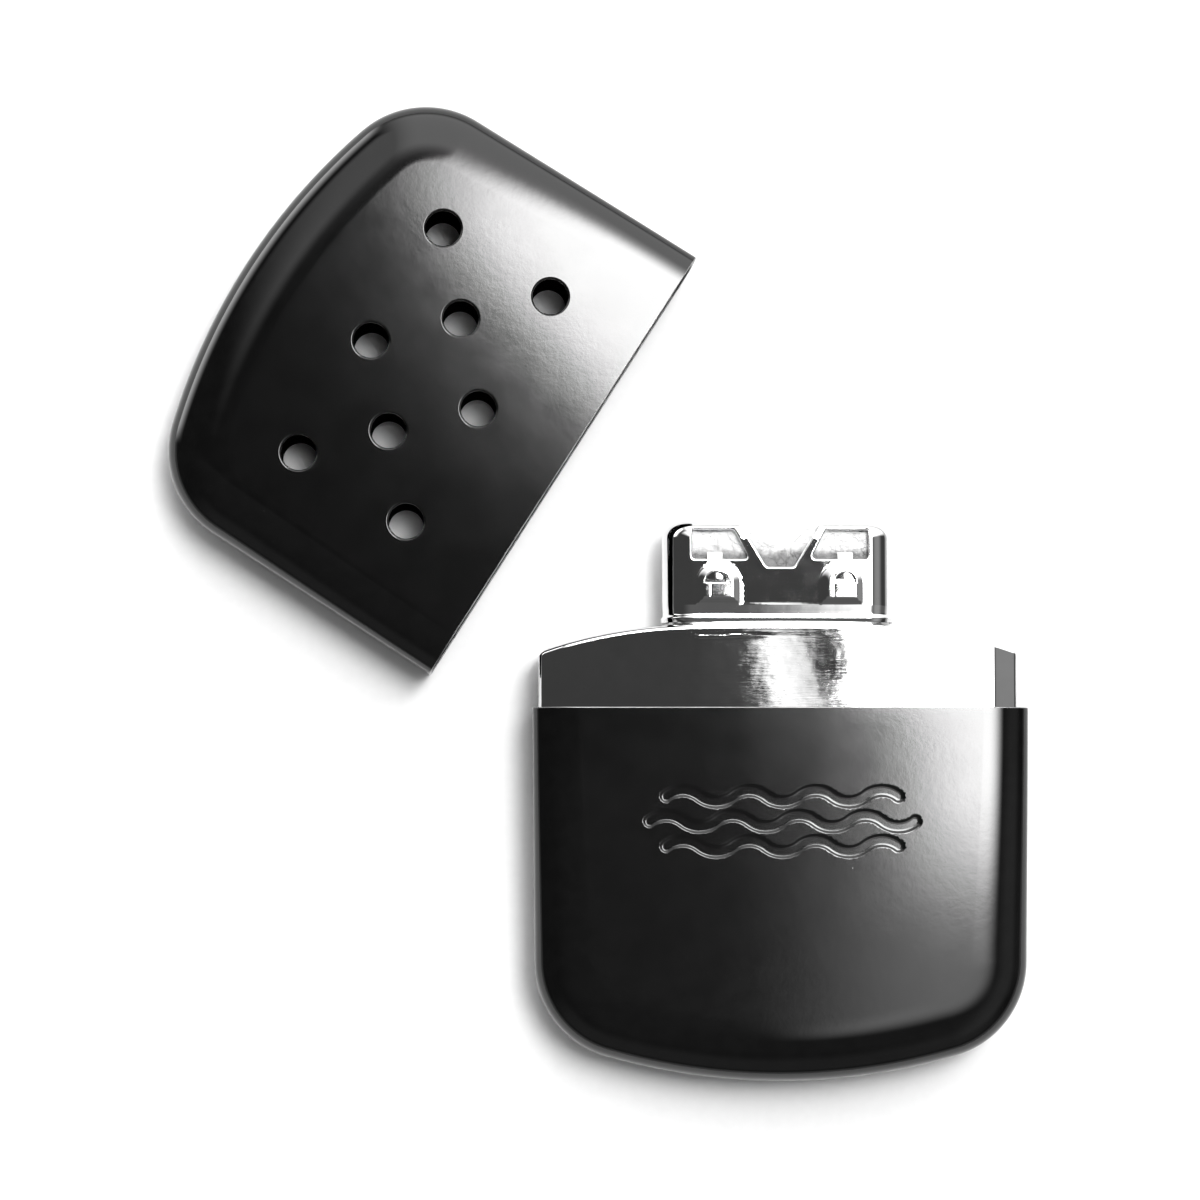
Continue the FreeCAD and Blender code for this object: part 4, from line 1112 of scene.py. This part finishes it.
def soft_piece(node, name, look, body, voxel, depth, size, strands=0, shape=None):
    """Fibrous pad inside its CAD block: tufted skin, never outside the block, with loose strands lying on it."""
    verts, normals, faces = remeshed(node, voxel, name)
    lo = [min(v[i] for v in verts) for i in range(3)]
    hi = [max(v[i] for v in verts) for i in range(3)]
    seed = sum(ord(c) for c in name)
    moved = []
    for v, n in zip(verts, normals):
        q = v / size + Vector((seed, 0, 0))
        h = 0.5 + 0.5 * noise.fractal(q, 0.8, 2.1, 4)
        h = 0.6 * h + 0.4 * abs(noise.noise(q * 3.1))
        d = depth * min(max(h, 0.0), 1.0)
        p = v - n * d
        if shape is not None:
            p = shape(p, n)
        moved.append(p)
    mesh = bpy.data.meshes.new(name)
    all_verts, all_faces = list(moved), list(faces)
    r = rng(seed)
    if strands:
        normal_list = normals
        order = r.permutation(len(moved))
        made = 0
        for i in order:
            if made >= strands:
                break
            n = normal_list[i]
            if n[2] < 0.3 and n[1] < 0.5:
                continue
            p = moved[i]
            a = r.uniform(0, 2 * math.pi)
            side = n.orthogonal().normalized()
            d = (side * math.cos(a) + n.cross(side) * math.sin(a)).normalized()
            length, bend = r.uniform(0.8, 2.6), r.uniform(-0.9, 0.9)
            thick = r.uniform(0.018, 0.04)
            across = n.cross(d)
            path = []
            for k in range(7):
                f = k / 6
                c = p + d * length * (f - 0.5) + across * bend * (f - 0.5) ** 2 * 2 + n * (0.02 + 0.10 * math.sin(math.pi * f) * r.uniform(0.3, 1.0))
                path.append(c)
            if any(not (lo[j] <= c[j] <= hi[j]) for c in path for j in range(3)):
                continue
            base = len(all_verts)
            for k, c in enumerate(path):
                w = thick * (0.45 + 0.55 * math.sin(math.pi * min(max(k / 6, 0.08), 0.92)))
                for e in range(3):
                    g = 2 * math.pi * e / 3
                    all_verts.append(c + (across * math.cos(g) + n * math.sin(g)) * w)
            for k in range(6):
                for e in range(3):
                    f = (e + 1) % 3
                    all_faces.append((base + 3 * k + e, base + 3 * k + f, base + 3 * k + 3 + f, base + 3 * k + 3 + e))
            all_faces.append((base + 2, base + 1, base))
            all_faces.append((base + 18, base + 19, base + 20))
            made += 1
    mesh.from_pydata([Vector(v) * MM for v in all_verts], [], all_faces)
    mesh.polygons.foreach_set("use_smooth", [True] * len(mesh.polygons))
    mesh.materials.append(look)
    mesh.update()
    o = bpy.data.objects.new(name, mesh)
    SCENE.collection.objects.link(o)
    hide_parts(node)
    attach(o, body)
    return o


def mat_shape(p, n):
    """Pull the mat's head down to a ragged line."""
    head = 48.35 + 0.35 * noise.noise(Vector((p[0] * 0.9, p[2] * 0.4, 2.0))) + 0.16 * noise.noise(Vector((p[0] * 3.7, p[2], 5.0)))
    if p[1] > head:
        p = Vector((p[0], head + (p[1] - head) * 0.12, p[2]))
    return p


soft_piece("catalyst_mat", "glass_wool_mat", wool, "burner", 0.2, 0.42, 1.5, strands=1500, shape=mat_shape)
soft_piece("wick_felt", "felt_wick", felt, "tank", 0.35, 0.3, 1.6, strands=200)
for part in ("left", "centre", "right", "neck"):
    soft_piece("wadding_" + part, "cotton_" + part, cotton, "tank", 0.7, 0.9, 3.2, strands=150)


# ---------------------------------------------------------------- table and light
def table_top():
    bm = bmesh.new()
    half, steps = 12.0, 24
    bmesh.ops.create_grid(bm, x_segments=steps, y_segments=steps, size=half)
    me = bpy.data.meshes.new("table_top")
    bm.to_mesh(me)
    bm.free()
    o = bpy.data.objects.new("table_top", me)
    SCENE.collection.objects.link(o)
    o.location = (0.0, 0.0, 0.0)
    m, n = material("pale_board")
    v = n.ramp(n.noise(1.5, 4.0, 0.6), 0.2, 0.8, 0.89, 0.92)
    n.surface(Base_Color=n.grey(v), Roughness=0.9, Normal=n.bump(n.noise(0.5, 3.0, 0.6), 8e-6))
    me.materials.append(m)
    return o


def studio():
    w = bpy.data.worlds.new("studio")
    SCENE.world = w
    w.use_nodes = True
    n = Net(w.node_tree)
    tc = n.node("ShaderNodeTexCoord")
    dx, dy, dz = n.split(tc.outputs["Generated"])
    X = n.mul(n.math("ARCTAN2", dx, dz), 57.29578)
    Y = n.mul(n.math("ARCTAN2", dy, dz), 57.29578)
    elev = n.mul(n.math("ARCSINE", dz), 57.29578)
    flat = n.math("SQRT", n.add(n.mul(dx, dx), n.mul(dy, dy)))
    # softbox near the zenith, its edges askew, dimmer at its lower end
    s1 = n.add(X, n.mul(Y, 0.9))
    s4 = n.sub(n.mul(Y, 0.61), n.mul(X, 0.79))
    shift = n.add(n.ramp(Y, 2.17, 2.32, 0.0, -0.72), n.add(n.ramp(Y, 2.35, 2.65, 0.0, 0.18), n.ramp(Y, 3.05, 3.3, 0.0, -0.13)))
    up = n.ramp(Y, 4.6, 4.9)
    near = n.mul(n.mixed(up, n.ramp(n.sub(X, shift), 5.3, 6.05), n.ramp(s1, 6.65, 7.9)), n.ramp(Y, 1.5, 2.1), 25.0)
    low = n.add(n.mul(n.ramp(X, 5.12, 6.4), n.ramp(Y, -0.5, 1.3), 23.0), n.mul(n.ramp(X, 3.6, 6.2), n.ramp(Y, -16.0, -4.0), 2.6))
    low = n.mul(low, n.ramp(Y, 1.9, 2.3, 1.0, 0.0))
    box = n.mul(n.maxi(near, low), n.ramp(s4, 3.6, 6.1, 1.0, 0.0), n.ramp(X, 10.0, 27.0, 1.0, 0.0), n.ramp(Y, 14.0, 34.0, 1.0, 0.35))
    # a narrow upright gap of light beside it, and a dim glow beyond its far edge
    across = n.add(X, n.mul(Y, 0.22))
    strip = n.mul(n.ramp(across, 4.41, 4.53), n.ramp(across, 4.99, 5.13, 1.0, 0.0), n.ramp(Y, 1.75, 2.1), n.ramp(Y, 3.0, 3.3, 1.0, 0.0), n.ramp(across, 4.6, 5.0, 1.5, 0.95))
    strip = n.add(strip, n.mul(n.ramp(across, 3.5, 4.5), n.ramp(across, 5.0, 5.2, 1.0, 0.0), n.ramp(Y, 2.0, 2.3), n.ramp(Y, 3.0, 3.3, 1.0, 0.0), 0.03))
    strip = n.add(strip, n.mul(n.ramp(Y, -50.0, -24.0), n.ramp(Y, 1.2, 2.0, 1.0, 0.0), n.ramp(X, -40.0, -4.0), 0.07))
    glow = n.mul(n.ramp(s1, 4.3, 6.4), n.ramp(Y, 4.2, 4.9), n.ramp(s4, 3.6, 6.1, 1.0, 0.0), n.ramp(X, 3.3, 5.0, 1.0, 0.0), 0.68)
    box = n.add(n.add(box, strip), glow)
    # bright wall towards +Y that dies away round the corner, a dim one towards +X, a low window up and to the left, and the horizon
    toward = n.math("DIVIDE", n.add(n.mul(dx, 0.35), n.mul(dy, 0.937)), n.maxi(flat, 0.001))
    wall = n.mul(n.ramp(toward, 0.58, 0.92), n.ramp(elev, 68.0, 82.0, 1.0, 0.0), n.ramp(elev, 4.0, 14.0, 0.1, 1.0), 2.6)
    side = n.mul(n.ramp(n.math("DIVIDE", dx, n.maxi(flat, 0.001)), 0.2, 0.9), n.ramp(elev, 50.0, 68.0, 1.0, 0.0), n.ramp(elev, 24.0, 42.0), 0.24)
    window = n.math("DIVIDE", n.add(n.mul(dx, -0.8), n.mul(dy, 0.6)), n.maxi(flat, 0.001))
    corner = n.mul(n.ramp(toward, 0.2, 0.6), n.ramp(window, 0.3, 0.6), n.ramp(elev, 70.0, 80.0, 1.0, 0.0), n.ramp(elev, 30.0, 42.0), 1.35)
    wall = n.maxi(wall, corner)
    window = n.mul(n.ramp(window, 0.88, 0.98), n.ramp(elev, 4.0, 30.0, 1.0, 0.0), 6.0)
    front = n.mul(n.ramp(n.math("DIVIDE", dy, n.maxi(flat, 0.001)), -0.85, -0.35, 1.0, 0.0), n.ramp(elev, 40.0, 58.0, 1.0, 0.0), n.ramp(elev, 8.0, 22.0), 0.17)
    horizon = n.mul(n.ramp(elev, 4.0, 13.0, 1.0, 0.0), 0.55)
    total = n.add(n.add(n.add(box, window), n.add(wall, side)), n.add(n.add(horizon, front), 0.055))
    bg = n.node("ShaderNodeBackground")
    n.put(bg.inputs["Color"], n.grey(total))
    out = n.node("ShaderNodeOutputWorld")
    n.links.new(bg.outputs[0], out.inputs["Surface"])


table_top()
studio()

# ---------------------------------------------------------------- camera
cam = bpy.data.cameras.new("camera")
cam.lens = 150.92
cam.sensor_width = 36.0
cam.clip_start = 0.01
cam.clip_end = 100.0
cam_object = bpy.data.objects.new("camera", cam)
cam_object.location = (-0.04786, -0.00088, 0.67769)
cam_object.rotation_euler = (math.radians(3.423), math.radians(-2.041), math.radians(-0.05))
SCENE.collection.objects.link(cam_object)
SCENE.camera = cam_object

SCENE.view_settings.view_transform = "Standard"
SCENE.view_settings.look = "None"
SCENE.view_settings.exposure = 0.0
SCENE.view_settings.gamma = 1.0
